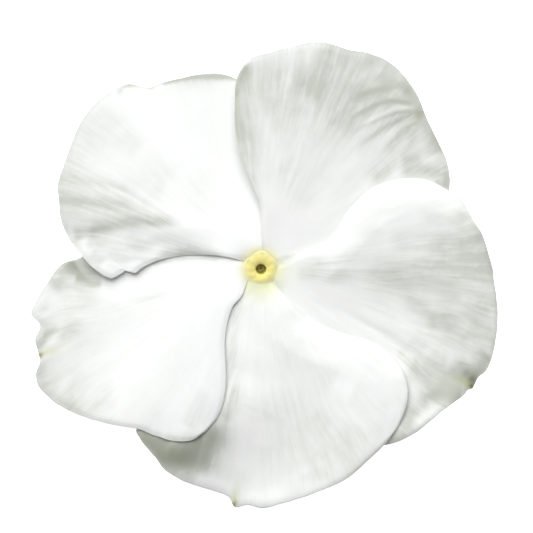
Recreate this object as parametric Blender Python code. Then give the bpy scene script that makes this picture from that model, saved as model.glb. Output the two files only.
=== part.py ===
"""A vinca flower as picked: five broad white petals that overlap like a pinwheel round a
yellow eye, on a slender tube with its calyx and a short cut stalk. It lies on a surface,
on the rims of its two lowest petals and the cut end of the stalk.

The flower is modelled about its own axis, in millimetres: X and Y are right and up as seen
from in front of the face, Z comes out of the eye, and 0 is the centre of the eye. One empty
then leans and rolls it into the way it lies, in metres, with the floor at Z = 0.
"""

import math
from dataclasses import dataclass

import bmesh
import bpy
import numpy as np
from mathutils import Matrix, Vector

# How the flower lies
MM = 0.001
LEAN_DEG = 35.08  # how far the face is tipped back from upright
ROLL_DEG = 33.01  # how far the face is turned, anticlockwise as seen from in front
EYE_PLACE = (-0.72, -6.862, 18.895)  # the eye's centre, over the middle of the floor,
# 0.15 lower than where its lowest points would touch, so that they are cut flat at the floor
FLOOR_BOX = (100.0, 100.0, 10.0)  # what is cut away below the floor
GAP = 0.3  # clearance between neighbouring pieces

# Petals
BLADE = 0.70  # thickness, along the flower's axis
BASE_RADIUS = 2.0  # where the petals begin, round the eye
BASE_SINK = 0.30  # how far the face dips at the eye
BASE_SINK_REACH = 1.3
LIFT_REACH = 2.2  # the petals reach most of their lift this far out
ROLL_WIDTH = 2.0  # how far in from its upper edge a petal rolls over
ROLL_FROM, ROLL_TO = 5.0, 11.0  # the radii between which it takes on that roll
OVERLAP = 4.0  # how far a petal reaches under its neighbour
OVERLAP_FROM, OVERLAP_TO = 4.0, 10.0  # the radii between which the overlap grows
CLEAR_UPPER, CLEAR_HIDDEN = 0.5 * GAP, 1.2 * GAP  # room beside each edge, up to there
RIM_DROP = 0.0035  # how quickly the rim curves back, past the radius below
RIM_FROM = 11.0
ROWS = 12  # from base to rim
STEPS = 2  # columns between two of the rim's points


@dataclass(frozen=True)
class Fold:
    """A soft ridge in a petal, or a crease where its height is below 0."""

    start: tuple
    end: tuple
    width: float
    height: float


@dataclass(frozen=True)
class Petal:
    """One petal: its upper edge from the eye out, and its rim on from there, clockwise."""

    name: str
    edge: tuple
    rim: tuple
    hidden_radius: float  # where the rim ends, under the next petal
    lift: float  # of its upper edge, over the plane of the face
    sink: float  # of the side that lies under its neighbour
    roll: float
    waves: tuple  # number, height and phase of the rim's waves
    folds: tuple = ()


# Anticlockwise round the eye. Each petal's edge lies over the next petal in the list.
PETALS = (
    Petal(
        "petal_right",
        edge=((1.9, 0.5), (3.9, 1.5), (5.9, 2.3), (7.4, 3.6), (8.4, 5.3), (9.4, 6.5), (10.9, 7.9),
              (12.9, 8.7), (15.1, 9.0), (16.9, 8.7), (18.8, 7.7), (20.1, 6.8)),
        rim=((21.1, 5.0), (22.1, 3.4), (22.7, 1.6), (23.2, -0.4), (23.5, -2.7), (23.7, -5.2),
             (23.5, -7.2), (23.0, -9.4), (22.6, -10.2), (21.7, -10.9), (21.4, -11.7),
             (21.1, -12.2), (19.6, -13.3), (17.9, -14.5), (15.9, -16.2), (13.9, -17.3),
             (12.4, -17.7)),
        hidden_radius=20.6,
        lift=1.10,
        sink=0.80,
        roll=0.55,
        waves=(3.0, 0.25, 0.4),
        folds=(
            Fold((3.5, -2.2), (20.5, -11.8), 1.1, -0.30),
            Fold((6.0, 0.6), (21.0, 0.2), 2.4, -0.35),
            Fold((9.0, -3.5), (19.0, -4.2), 2.4, 0.30),
        ),
    ),
    Petal(
        "petal_top",
        edge=((0.1, 1.7), (0.0, 4.3), (-0.1, 6.3), (-0.7, 8.0), (-1.8, 10.6), (-2.5, 13.3),
              (-2.6, 16.8), (-2.4, 19.0), (-1.8, 20.2)),
        rim=((-0.9, 21.0), (1.1, 21.6), (3.9, 22.4), (5.9, 22.6), (7.4, 22.3), (8.9, 21.8),
             (11.2, 21.4), (13.1, 20.4), (14.6, 18.9), (15.8, 17.0), (16.3, 15.7), (17.6, 12.9),
             (18.6, 10.8), (18.9, 8.8), (18.8, 7.2)),
        hidden_radius=18.9,
        lift=1.05,
        sink=0.80,
        roll=-0.30,
        waves=(3.0, 0.30, 1.9),
        folds=(
            Fold((2.2, 4.0), (15.8, 15.3), 1.2, -0.30),
            Fold((4.5, 4.5), (12.0, 11.5), 1.8, 0.30),
            Fold((1.5, 8.0), (8.0, 21.0), 2.2, 0.25),
        ),
    ),
    Petal(
        "petal_upper_left",
        edge=((-1.5, 0.6), (-3.1, 0.9), (-6.1, 1.1), (-8.6, 0.9), (-10.6, 0.5), (-12.4, -0.3),
              (-13.5, -0.6), (-14.3, -0.9), (-14.9, -1.05)),
        rim=((-15.4, -0.9), (-16.1, -0.5), (-17.3, 0.5), (-18.1, 1.5), (-19.1, 2.8),
             (-20.0, 4.9), (-20.2, 6.8), (-20.3, 8.4), (-19.8, 10.0), (-19.1, 12.1),
             (-18.4, 13.9), (-17.0, 16.0), (-15.3, 17.5), (-13.4, 18.4), (-11.1, 18.1),
             (-10.3, 18.4), (-8.6, 18.9), (-6.1, 19.4), (-4.1, 19.5), (-2.5, 19.0), (-0.8, 18.6)),
        hidden_radius=18.0,
        lift=1.15,
        sink=0.80,
        roll=0.35,
        waves=(3.5, 0.30, 2.6),
        folds=(
            Fold((-2.5, 2.2), (-13.0, 17.5), 1.2, -0.25),
            Fold((-4.5, 2.0), (-18.5, 6.0), 1.6, -0.35),
            Fold((-6.0, 5.0), (-18.0, 11.0), 2.4, 0.25),
        ),
    ),
    Petal(
        "petal_lower_left",
        edge=((-1.3, -1.2), (-1.8, -2.5), (-2.8, -3.8), (-3.3, -5.2), (-3.6, -7.2),
              (-3.5, -10.2), (-3.6, -12.7), (-4.2, -14.4), (-5.6, -16.0)),
        rim=((-7.1, -16.9), (-8.6, -17.0), (-10.6, -16.5), (-12.3, -16.0), (-13.6, -15.9),
             (-15.6, -15.5), (-17.3, -15.0), (-19.1, -14.3), (-20.9, -13.2), (-22.4, -11.4),
             (-22.5, -10.6), (-22.1, -9.2), (-22.3, -8.5), (-22.6, -7.2), (-22.1, -5.8),
             (-23.0, -4.5), (-22.5, -3.3), (-21.3, -1.4), (-19.9, 0.4), (-17.8, 1.2)),
        hidden_radius=16.6,
        lift=1.30,
        sink=0.80,
        roll=0.45,
        waves=(3.5, 0.25, 0.9),
        folds=(
            Fold((-2.4, -1.6), (-21.5, -8.8), 1.2, -0.30),
            Fold((-5.0, -5.0), (-13.0, -14.0), 2.2, 0.25),
            Fold((-7.0, -1.6), (-20.0, -3.0), 2.2, 0.25),
        ),
    ),
    Petal(
        "petal_bottom",
        edge=((1.1, -1.3), (2.4, -2.8), (4.4, -4.6), (6.4, -5.8), (8.4, -6.6), (10.4, -7.1),
              (12.1, -7.9), (13.5, -9.2), (14.4, -10.8), (14.7, -12.4), (14.4, -14.2),
              (13.5, -16.2)),
        rim=((12.3, -17.7), (10.4, -19.5), (8.4, -21.2), (6.4, -22.1), (4.4, -22.9),
             (1.9, -23.65), (0.1, -24.05), (-1.3, -23.8), (-2.7, -23.9), (-3.2, -23.0),
             (-4.6, -22.4), (-6.6, -21.8), (-8.1, -21.2), (-9.6, -20.2), (-10.6, -18.9),
             (-11.8, -17.5), (-12.5, -16.2)),
        hidden_radius=19.3,
        lift=1.10,
        sink=0.60,
        roll=0.50,
        waves=(2.0, 0.45, 4.9),
        folds=(
            Fold((-0.4, -2.8), (-2.2, -22.8), 1.2, -0.28),
            Fold((3.5, -6.0), (9.0, -18.0), 2.4, 0.25),
            Fold((-1.0, -6.0), (-6.0, -19.0), 2.2, 0.22),
            Fold((-2.0, -17.0), (-2.75, -25.5), 4.0, -1.0),
        ),
    ),
)

# Eye: the puckered yellow ring round the mouth of the tube
EYE_RADIUS = 1.58
EYE_CORNERS = 0.05  # how far the ring's outline swells towards its five corners
MOUTH_RADIUS = 0.53
EYE_TOP, EYE_RIM, EYE_FOOT = 0.30, -0.12, -0.52
EYE_PLEATS, EYE_PLEAT_DEPTH = 10, 0.05
EYE_SIDES = 50

# Tube: radius and height down its outside, then up its bore
TUBE_SIDES = 35
TUBE_OUTSIDE = (
    (3.2, -1.10), (3.2, -1.45), (2.5, -1.85), (1.75, -2.35), (1.35, -3.0), (1.50, -3.8),
    (1.62, -5.0), (1.60, -6.6), (1.35, -8.2), (1.12, -10.0), (1.08, -15.0), (1.10, -20.5),
    (1.25, -22.5), (1.38, -24.0), (1.36, -25.85),
)
TUBE_BORE = (
    (0.92, -25.85), (0.95, -24.0), (0.85, -22.8), (0.66, -20.8), (0.64, -15.0), (0.66, -10.0),
    (0.90, -8.2), (1.15, -6.6), (1.17, -5.0), (1.05, -3.8), (0.62, -2.9), (MOUTH_RADIUS, -2.2),
    (MOUTH_RADIUS, -0.83),
)
FLARE_STEP = (1.75, -0.83)  # outer edge of the flat on which the eye sits
ANTHER_DEPTH = 0.34  # how far the five anthers stand out of the bore
ANTHER_MID, ANTHER_HALF_LENGTH = -5.4, 1.5

# Pistil: radius and height from the ovary up to the head
PISTIL_SIDES = 15
PISTIL_PROFILE = (
    (0.0, -26.0), (0.42, -26.0), (0.58, -25.2), (0.52, -24.2), (0.26, -23.2), (0.20, -22.4),
    (0.18, -14.0), (0.19, -6.6), (0.40, -6.2), (0.42, -5.6), (0.34, -5.2), (0.34, -4.6),
    (0.22, -4.2), (0.0, -4.1),
)

# Calyx: the cup round the foot of the tube, and its five narrow sepals
CUP_SIDES = 30
CUP_PROFILE = (
    (0.0, -26.3), (1.36, -26.3), (1.68, -25.9), (1.68, -24.9), (1.98, -24.7), (2.14, -25.3),
    (2.10, -26.2), (1.75, -27.0), (1.15, -27.6), (0.0, -27.6),
)
SEPAL_COUNT = 5
SEPAL_TURN_DEG = 18.0
SEPAL_BLADE = 0.60
SEPAL_WIDTH = 1.05
SEPAL_LINE = ((2.00, -26.0), (1.98, -24.4), (2.05, -22.9), (2.25, -21.6), (2.60, -20.6))
SEPAL_WIDTHS = (0.9, 1.0, 0.86, 0.60, 0.22)

# Stalk
STALK_SIDES = 20
STALK_PROFILE = (
    (0.0, -27.9), (1.02, -27.9), (0.86, -28.6), (0.72, -29.6), (0.66, -31.0), (0.66, -32.2),
    (0.0, -32.2),
)

# Colour, roughness and metallic value of each piece
FINISHES = {
    "petal": ((0.93, 0.93, 0.90), 0.55, 0.0),
    "throat_eye": ((0.86, 0.78, 0.22), 0.60, 0.0),
    "corolla_tube": ((0.79, 0.83, 0.62), 0.50, 0.0),
    "pistil": ((0.74, 0.78, 0.45), 0.50, 0.0),
    "calyx": ((0.27, 0.42, 0.14), 0.50, 0.0),
    "pedicel": ((0.36, 0.47, 0.20), 0.50, 0.0),
}


def smooth(low, high, value):
    """0 below low, 1 above high, and an even S between them."""
    share = np.clip((np.asarray(value, float) - low) / (high - low), 0.0, 1.0)
    return share * share * (3.0 - 2.0 * share)


def through(knots, values, at):
    """Read a smooth curve through the values at some places between its knots."""
    knots, values = np.asarray(knots, float), np.asarray(values, float)
    slopes = np.gradient(values, knots)
    at = np.clip(np.asarray(at, float), knots[0], knots[-1])
    index = np.clip(np.searchsorted(knots, at, side="right") - 1, 0, len(knots) - 2)
    span = knots[index + 1] - knots[index]
    u = (at - knots[index]) / span
    return (
        (1 + 2 * u) * (1 - u) ** 2 * values[index]
        + u * (1 - u) ** 2 * span * slopes[index]
        + u * u * (3 - 2 * u) * values[index + 1]
        + u * u * (u - 1) * span * slopes[index + 1]
    )


def polar(points):
    """Radii and unbroken angles, in radians, of points round the eye."""
    points = np.asarray(points, float)
    return np.hypot(points[:, 0], points[:, 1]), np.unwrap(np.arctan2(points[:, 1], points[:, 0]))


def at_angle(radius, angle):
    """Points at the given radii and angles."""
    return np.stack([radius * np.cos(angle), radius * np.sin(angle)], axis=-1)


def neighbour(petal):
    """The petal that lies over this one's clockwise side."""
    return PETALS[PETALS.index(petal) - 1]


def edge_angle(petal, radius):
    """Angle of a petal's upper edge at each radius."""
    radii, angles = polar(petal.edge)
    return through(radii, angles, radius)


def fold_height(fold, x, y):
    """Height of one fold, faded towards its two ends."""
    start, end = np.array(fold.start), np.array(fold.end)
    length = np.hypot(*(end - start))
    along_x, along_y = (end - start) / length
    along = ((x - start[0]) * along_x + (y - start[1]) * along_y) / length
    aside = (x - start[0]) * -along_y + (y - start[1]) * along_x
    fade = smooth(-0.05, 0.30, along) * (1.0 - smooth(0.80, 1.10, along))
    return fold.height * fade * np.exp(-((aside / fold.width) ** 2))


def petal_height(petal, x, y, along, across):
    """Height of a petal's middle layer over the plane of the face."""
    radius, angle = np.hypot(x, y), np.arctan2(y, x)
    own, other = edge_angle(petal, radius), edge_angle(neighbour(petal), radius)
    span = (own - other) % (2 * math.pi)
    turned = (angle - other + math.pi / 2) % (2 * math.pi) - math.pi / 2
    share = turned / span
    reached = 1.0 - np.exp(-np.clip(radius - BASE_RADIUS, 0.0, None) / LIFT_REACH)
    height = reached * (petal.lift * share - petal.sink * (1.0 - share))
    height -= BASE_SINK * np.exp(-(radius - EYE_RADIUS) / BASE_SINK_REACH)
    height -= RIM_DROP * np.clip(radius - RIM_FROM, 0.0, None) ** 2
    from_edge = (span - turned) * radius
    height -= petal.roll * smooth(ROLL_FROM, ROLL_TO, radius) * np.exp(-((from_edge / ROLL_WIDTH) ** 2))
    count, size, phase = petal.waves
    height += size * along**3 * np.sin(2 * math.pi * count * across + phase)
    for fold in petal.folds:
        height += fold_height(fold, x, y)
    return height


def outline(petal):
    """The petal's outline, as functions of a share from 0 to 1: its upper edge and its
    hidden edge from the eye out, and its rim's points from the one to the other."""
    radii, _ = polar(petal.edge)
    over = neighbour(petal)

    def upper(share):
        radius = BASE_RADIUS + (radii[-1] - BASE_RADIUS) * share
        clear = CLEAR_UPPER * (1 - smooth(OVERLAP_FROM, OVERLAP_TO, radius))
        return at_angle(radius, edge_angle(petal, radius) - clear / radius)

    def hidden(share):
        radius = BASE_RADIUS + (petal.hidden_radius - BASE_RADIUS) * share
        under = OVERLAP * smooth(OVERLAP_FROM, OVERLAP_TO, radius)
        clear = CLEAR_HIDDEN * (1 - smooth(OVERLAP_FROM, OVERLAP_TO, radius))
        return at_angle(radius, edge_angle(over, radius) + (clear - under) / radius)

    points = np.vstack([upper(1.0), petal.rim, hidden(1.0)])
    lengths = np.concatenate([[0.0], np.cumsum(np.hypot(*np.diff(points, axis=0).T))])
    places = np.interp(
        np.arange(0, len(points) - 1 + 0.5 / STEPS, 1.0 / STEPS), np.arange(len(points)), lengths
    )
    rim = np.stack([through(lengths, points[:, k], places) for k in (0, 1)], axis=-1)
    return upper, hidden, rim, places / lengths[-1]


def petal_grid(petal):
    """The petal's surface between its four sides, as rows of points from base to rim."""
    upper, hidden, rim, across = outline(petal)
    along = np.linspace(0.0, 1.0, ROWS)
    left, right = upper(along), hidden(along)
    start, end = (math.atan2(p[1], p[0]) for p in (left[0], right[0]))
    sweep = (end - start + math.pi) % (2 * math.pi) - math.pi
    base = at_angle(np.full(len(across), BASE_RADIUS), start + sweep * across)
    s, t = across[None, :, None], along[:, None, None]
    flat = (
        (1 - s) * left[:, None] + s * right[:, None] + (1 - t) * base[None] + t * rim[None]
        - (1 - s) * (1 - t) * left[0] - s * (1 - t) * right[0]
        - (1 - s) * t * left[-1] - s * t * right[-1]
    )
    x, y = flat[..., 0], flat[..., 1]
    z = petal_height(petal, x, y, along[:, None], across[None, :])
    return np.stack([x, y, z], axis=-1)


def new_object(name, points, faces, finish):
    """A mesh object with its own material, from points in millimetres."""
    mesh = bpy.data.meshes.new(name)
    mesh.from_pydata([Vector(p) * MM for p in points], [], faces)
    mesh.update()
    colour, roughness, metallic = FINISHES[finish]
    material = bpy.data.materials.new(name)
    material.use_nodes = True
    shader = material.node_tree.nodes["Principled BSDF"]
    shader.inputs["Base Color"].default_value = (*colour, 1.0)
    shader.inputs["Roughness"].default_value = roughness
    shader.inputs["Metallic"].default_value = metallic
    mesh.materials.append(material)
    mesh.shade_smooth()
    mesh.set_sharp_from_angle(angle=math.radians(50))
    thing = bpy.data.objects.new(name, mesh)
    bpy.context.scene.collection.objects.link(thing)
    return thing


def blade(name, grid, thickness, direction, finish):
    """A closed thin blade: a grid of points thickened evenly both ways along a direction,
    with both faces and the edges split into triangles alike."""
    rows, columns = grid.shape[:2]
    half = 0.5 * thickness * np.asarray(direction, float)
    points = np.vstack([(grid + half).reshape(-1, 3), (grid - half).reshape(-1, 3)])
    back = rows * columns
    faces = []
    for i in range(rows - 1):
        for j in range(columns - 1):
            a, b = i * columns + j, i * columns + j + 1
            c, d = b + columns, a + columns
            faces += [(a, b, c), (a, c, d), (a + back, c + back, b + back), (a + back, d + back, c + back)]
    ring = [(0, j) for j in range(columns)] + [(i, columns - 1) for i in range(1, rows)]
    ring += [(rows - 1, j) for j in range(columns - 2, -1, -1)] + [(i, 0) for i in range(rows - 2, 0, -1)]
    border = [i * columns + j for i, j in ring]
    for a, b in zip(border, border[1:] + border[:1]):
        faces += [(b, a, a + back), (b, a + back, b + back)]
    return new_object(name, points, faces, finish)


def turned(name, profile, sides, finish, shape=None):
    """A closed body turned round the axis from a profile that runs down its outside. Where
    the profile starts and ends on the axis it closes there, and otherwise it is a ring. The
    shape changes each point's radius and height by its angle."""
    closed = profile[0][0] == 0.0
    points, rings = [], []
    for radius, height in profile:
        if radius == 0.0:
            rings.append([len(points)] * sides)
            points.append((0.0, 0.0, height))
            continue
        rings.append(list(range(len(points), len(points) + sides)))
        for k in range(sides):
            angle = 2 * math.pi * k / sides
            r, z = shape(radius, height, angle) if shape else (radius, height)
            points.append((r * math.cos(angle), r * math.sin(angle), z))
    faces = []
    pairs = zip(rings[:-1], rings[1:]) if closed else zip(rings, rings[1:] + rings[:1])
    for upper, lower in pairs:
        for k in range(sides):
            m = (k + 1) % sides
            corners = (upper[k], lower[k], lower[m], upper[m])
            faces.append(tuple(dict.fromkeys(corners)))
    return new_object(name, points, faces, finish)


def ring_profile():
    """The eye's section, from the mouth over the top to the outside, and its flat foot."""
    arch = []
    for k in range(9):
        turn = math.pi * k / 8
        radius = (EYE_RADIUS + MOUTH_RADIUS) / 2 + (EYE_RADIUS - MOUTH_RADIUS) / 2 * math.cos(turn)
        arch.append((radius, EYE_RIM + (EYE_TOP - EYE_RIM) * math.sin(turn)))
    return [*reversed(arch), (EYE_RADIUS - 0.05, EYE_FOOT), (MOUTH_RADIUS, EYE_FOOT)]


def pucker(radius, height, angle):
    """The eye's five soft corners and its pleats, strongest on the crest."""
    outward = (radius - MOUTH_RADIUS) / (EYE_RADIUS - MOUTH_RADIUS)
    radius *= 1.0 + EYE_CORNERS * outward * math.cos(5 * (angle - math.radians(18)))
    crest = max(0.0, (height - EYE_RIM) / (EYE_TOP - EYE_RIM))
    return radius, height + EYE_PLEAT_DEPTH * crest * math.cos(EYE_PLEATS * angle)


def with_anthers(radius, height, angle):
    """The five anthers, raised from the wall of the bore at the tube's swelling."""
    if radius > 1.2 or abs(height - ANTHER_MID) > ANTHER_HALF_LENGTH:
        return radius, height
    lobe = max(0.0, math.cos(5 * angle)) ** 2
    taper = 1.0 - ((height - ANTHER_MID) / ANTHER_HALF_LENGTH) ** 2
    return radius - ANTHER_DEPTH * lobe * taper, height


def make_petals():
    """The five petals, each a thin waved blade."""
    for petal in PETALS:
        blade(petal.name, petal_grid(petal), BLADE, (0, 0, 1), "petal")


def make_tube():
    """The corolla's tube, with its flare under the petals and its narrow mouth."""
    profile = [FLARE_STEP, *TUBE_OUTSIDE, *TUBE_BORE]
    turned("corolla_tube", profile, TUBE_SIDES, "corolla_tube", with_anthers)


def make_calyx():
    """The calyx: a small cup, and five narrow sepals sunk into it and joined by a union."""
    cup = turned("calyx", CUP_PROFILE, CUP_SIDES, "calyx")
    sepals = bpy.data.collections.new("sepals")
    heights = np.array([z for _, z in SEPAL_LINE])
    radii = np.array([r for r, _ in SEPAL_LINE])
    halves = SEPAL_WIDTH / 2 * np.array(SEPAL_WIDTHS)
    grid = np.stack([
        np.stack([np.full(3, r), half * np.array([-1.0, 0.0, 1.0]), np.full(3, z)], axis=-1)
        for r, z, half in zip(radii, heights, halves)
    ])
    for k in range(SEPAL_COUNT):
        sepal = blade(f"sepal_{k}", grid, SEPAL_BLADE, (1, 0, 0), "calyx")
        angle = math.radians(SEPAL_TURN_DEG + 360.0 / SEPAL_COUNT * k)
        sepal.data.transform(Matrix.Rotation(angle, 4, "Z"))
        bpy.context.scene.collection.objects.unlink(sepal)
        sepals.objects.link(sepal)
    union = cup.modifiers.new("sepals", "BOOLEAN")
    union.operation = "UNION"
    union.operand_type = "COLLECTION"
    union.collection = sepals
    union.solver = "EXACT"
    joined = bpy.data.meshes.new_from_object(cup.evaluated_get(bpy.context.evaluated_depsgraph_get()))
    cup.modifiers.clear()
    cup.data = joined
    for sepal in list(sepals.objects):
        bpy.data.objects.remove(sepal)
    bpy.data.collections.remove(sepals)


def lay_down():
    """Hang every piece on one empty that leans and rolls the flower into place."""
    axis = bpy.data.objects.new("flower_axis", None)
    bpy.context.scene.collection.objects.link(axis)
    lean, roll = math.radians(LEAN_DEG), math.radians(ROLL_DEG)
    out = Vector((0.0, -math.cos(lean), math.sin(lean)))
    up = Vector((0.0, math.sin(lean), math.cos(lean)))
    face = Matrix((Vector((1.0, 0.0, 0.0)), up, out)).transposed()
    turn = Matrix.Rotation(roll, 3, "Z")
    axis.matrix_world = Matrix.Translation(Vector(EYE_PLACE) * MM) @ (face @ turn).to_4x4()
    for thing in bpy.context.scene.collection.objects:
        if thing.type == "MESH":
            thing.parent = axis


def flatten_rests(names):
    """Cut the lowest points of the given pieces flat, at the level of the floor."""
    box = bpy.data.meshes.new("below_floor")
    shape = bmesh.new()
    bmesh.ops.create_cube(shape, size=1.0)
    bmesh.ops.scale(shape, vec=Vector(FLOOR_BOX) * MM, verts=shape.verts)
    bmesh.ops.translate(shape, vec=(0.0, 0.0, -FLOOR_BOX[2] / 2 * MM), verts=shape.verts)
    shape.to_mesh(box)
    shape.free()
    cutter = bpy.data.objects.new("below_floor", box)
    bpy.context.scene.collection.objects.link(cutter)
    cutter.hide_render = True
    cutter.display_type = "WIRE"
    for name in names:
        cut = bpy.data.objects[name].modifiers.new("flat_spot", "BOOLEAN")
        cut.operation = "DIFFERENCE"
        cut.object = cutter
        cut.solver = "EXACT"


def main():
    """Build the flower."""
    for thing in list(bpy.data.objects):
        bpy.data.objects.remove(thing, do_unlink=True)
    make_petals()
    turned("throat_eye", ring_profile(), EYE_SIDES, "throat_eye", pucker)
    make_tube()
    turned("pistil", list(reversed(PISTIL_PROFILE)), PISTIL_SIDES, "pistil")
    make_calyx()
    turned("pedicel", STALK_PROFILE, STALK_SIDES, "pedicel")
    lay_down()
    flatten_rests(("petal_bottom", "petal_lower_left", "pedicel"))


main()
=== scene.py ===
"""The looks of a white vinca flower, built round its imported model.

Five thin waved petals with their veins, folds and small green tips, the puckered yellow eye,
the slender tube with its anthers, the pistil, the calyx and the cut stalk. Each is modelled
about the flower's own axis, in millimetres: X and Y are right and up as seen from in front,
Z comes out of the eye, and 0 is the eye's centre.
"""
import logging
import math
from collections.abc import Callable, Sequence
from dataclasses import dataclass, field
from enum import Enum
from typing import Any

import bpy
import numpy as np
from mathutils import Matrix, Vector


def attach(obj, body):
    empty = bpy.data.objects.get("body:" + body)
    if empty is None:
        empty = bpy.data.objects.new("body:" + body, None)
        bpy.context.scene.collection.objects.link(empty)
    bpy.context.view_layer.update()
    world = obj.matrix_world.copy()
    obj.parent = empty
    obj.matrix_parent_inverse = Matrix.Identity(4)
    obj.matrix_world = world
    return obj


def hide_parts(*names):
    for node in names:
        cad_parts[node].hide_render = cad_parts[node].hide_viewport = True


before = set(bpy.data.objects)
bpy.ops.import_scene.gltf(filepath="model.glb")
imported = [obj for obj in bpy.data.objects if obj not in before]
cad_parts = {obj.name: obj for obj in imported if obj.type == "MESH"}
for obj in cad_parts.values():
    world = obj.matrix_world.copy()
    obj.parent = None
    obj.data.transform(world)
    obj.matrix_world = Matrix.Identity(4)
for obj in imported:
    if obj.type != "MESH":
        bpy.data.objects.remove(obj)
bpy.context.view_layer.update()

LOG = logging.getLogger("vinca_flower")
Array = np.ndarray
Point = Range = Pair = tuple[float, float]
Colour = tuple[float, float, float]
Form = Callable[[Array, Array, Array], tuple[Array, Array]]  # changes radius and height by angle

MM = 0.001
LEAN_DEG = 35.08  # how far the face is tipped back from upright
ROLL_DEG = 33.01  # how far the face is turned, anticlockwise as seen from in front
EYE_PLACE = (-0.72, -6.862, 18.895)  # the eye's centre, over the middle of the floor
FULL_TURN = 2 * math.pi
FIVE = 5  # corners of the eye, ribs of the tube, anthers and sepals
CORNER_ANGLE = math.radians(18.0)  # where the first corner and the first rib stand
NOISE_SIDE = 64  # units after which the noise of drift() repeats


def smooth(low: float, high: float, value: Any) -> Array:
    """Give 0 up to low, 1 from high on, and an even S between them."""
    share = np.clip((np.asarray(value, float) - low) / (high - low), 0.0, 1.0)
    return share * share * (3.0 - 2.0 * share)


def bell(value: Any, width: Any) -> Array:
    """Give 1 where the value is 0, falling evenly to about a third at the width."""
    return np.exp(-((value / width) ** 2))


def through(knots: Any, values: Any, at: Any) -> Array:
    """Read a smooth curve through values at some places between its knots.

    Args:
        knots: rising places at which the curve is known.
        values: its values there.
        at: places to read it at, held between the first knot and the last.

    Returns:
        The curve's values at those places.
    """
    knots, values = np.asarray(knots, float), np.asarray(values, float)
    slopes = np.gradient(values, knots)
    at = np.clip(np.asarray(at, float), knots[0], knots[-1])
    index = np.clip(np.searchsorted(knots, at, side="right") - 1, 0, len(knots) - 2)
    span = knots[index + 1] - knots[index]
    u = (at - knots[index]) / span
    return (
        (1 + 2 * u) * (1 - u) ** 2 * values[index]
        + u * (1 - u) ** 2 * span * slopes[index]
        + u * u * (3 - 2 * u) * values[index + 1]
        + u * u * (u - 1) * span * slopes[index + 1]
    )


def smooth_line(points: Sequence[Sequence[float]], steps: int) -> Array:
    """Resample a line smoothly.

    Args:
        points: the line's points, in two or three directions.
        steps: steps between each two of its points.

    Returns:
        The finer line.
    """
    line = np.asarray(points, float)
    apart = np.linalg.norm(np.diff(line, axis=0), axis=1)
    lengths = np.concatenate([[0.0], np.cumsum(apart)])
    numbers = np.arange(0, len(line) - 1 + 0.5 / steps, 1.0 / steps)
    places = np.interp(numbers, np.arange(len(line)), lengths)
    return np.stack([through(lengths, column, places) for column in line.T], axis=-1)


def polar(points: Any) -> tuple[Array, Array]:
    """Give the radii and unbroken angles, in radians, of points round the eye."""
    x, y = np.asarray(points, float).T
    return np.hypot(x, y), np.unwrap(np.arctan2(y, x))


def at_angle(radius: Any, angle: Any) -> Array:
    """Give points at the given radii and angles."""
    return np.stack([radius * np.cos(angle), radius * np.sin(angle)], axis=-1)


def drift(u: Any, v: Any, seed: int) -> Array:
    """Give soft seeded noise from -1 to 1, one bump to each unit both ways.

    Args:
        u: places in the first direction.
        v: places in the second direction.
        seed: picks the pattern.

    Returns:
        The noise at each place.
    """
    side = NOISE_SIDE
    table = np.random.default_rng(seed).uniform(-1.0, 1.0, (side, side))
    u, v = np.broadcast_arrays(np.asarray(u, float), np.asarray(v, float))
    iu, iv = np.floor(u).astype(int), np.floor(v).astype(int)
    fu, fv = smooth(0, 1, u - iu), smooth(0, 1, v - iv)
    a, b = table[iu % side, iv % side], table[(iu + 1) % side, iv % side]
    c, d = table[iu % side, (iv + 1) % side], table[(iu + 1) % side, (iv + 1) % side]
    return (a * (1 - fu) + b * fu) * (1 - fv) + (c * (1 - fu) + d * fu) * fv


def flower_matrix() -> Matrix:
    """Lay the flower's own frame down on the floor.

    Returns:
        The matrix that does so, in metres.
    """
    lean, roll = math.radians(LEAN_DEG), math.radians(ROLL_DEG)
    out = Vector((0.0, -math.cos(lean), math.sin(lean)))
    up = Vector((0.0, math.sin(lean), math.cos(lean)))
    face = Matrix((Vector((1.0, 0.0, 0.0)), up, out)).transposed()
    turn = Matrix.Rotation(roll, 3, "Z")
    return Matrix.Translation(Vector(EYE_PLACE) * MM) @ (face @ turn).to_4x4()


FLOWER = flower_matrix()


def laid_down(points: Array) -> Array:
    """Take points from the flower's own frame, in millimetres, to the floor's, in metres."""
    return points * MM @ np.array(FLOWER.to_3x3()).T + np.array(FLOWER.translation)


def raised_up(points: Array) -> Array:
    """Take points from the floor's frame, in metres, back to the flower's, in millimetres."""
    return (points - np.array(FLOWER.translation)) @ np.array(FLOWER.to_3x3()) / MM


def above_floor(points: Array) -> Array:
    """Lift the few points that would dip below the floor onto it.

    Args:
        points: points in the flower's own frame.

    Returns:
        The same points, none of them below the floor.
    """
    world = laid_down(points)
    world[:, 2] = np.maximum(world[:, 2], 0.0)
    return raised_up(world)


def turned_round(points: Array, angle: float) -> Array:
    """Turn points round the flower's axis by an angle in radians."""
    return points @ np.array(Matrix.Rotation(angle, 3, "Z")).T


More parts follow.
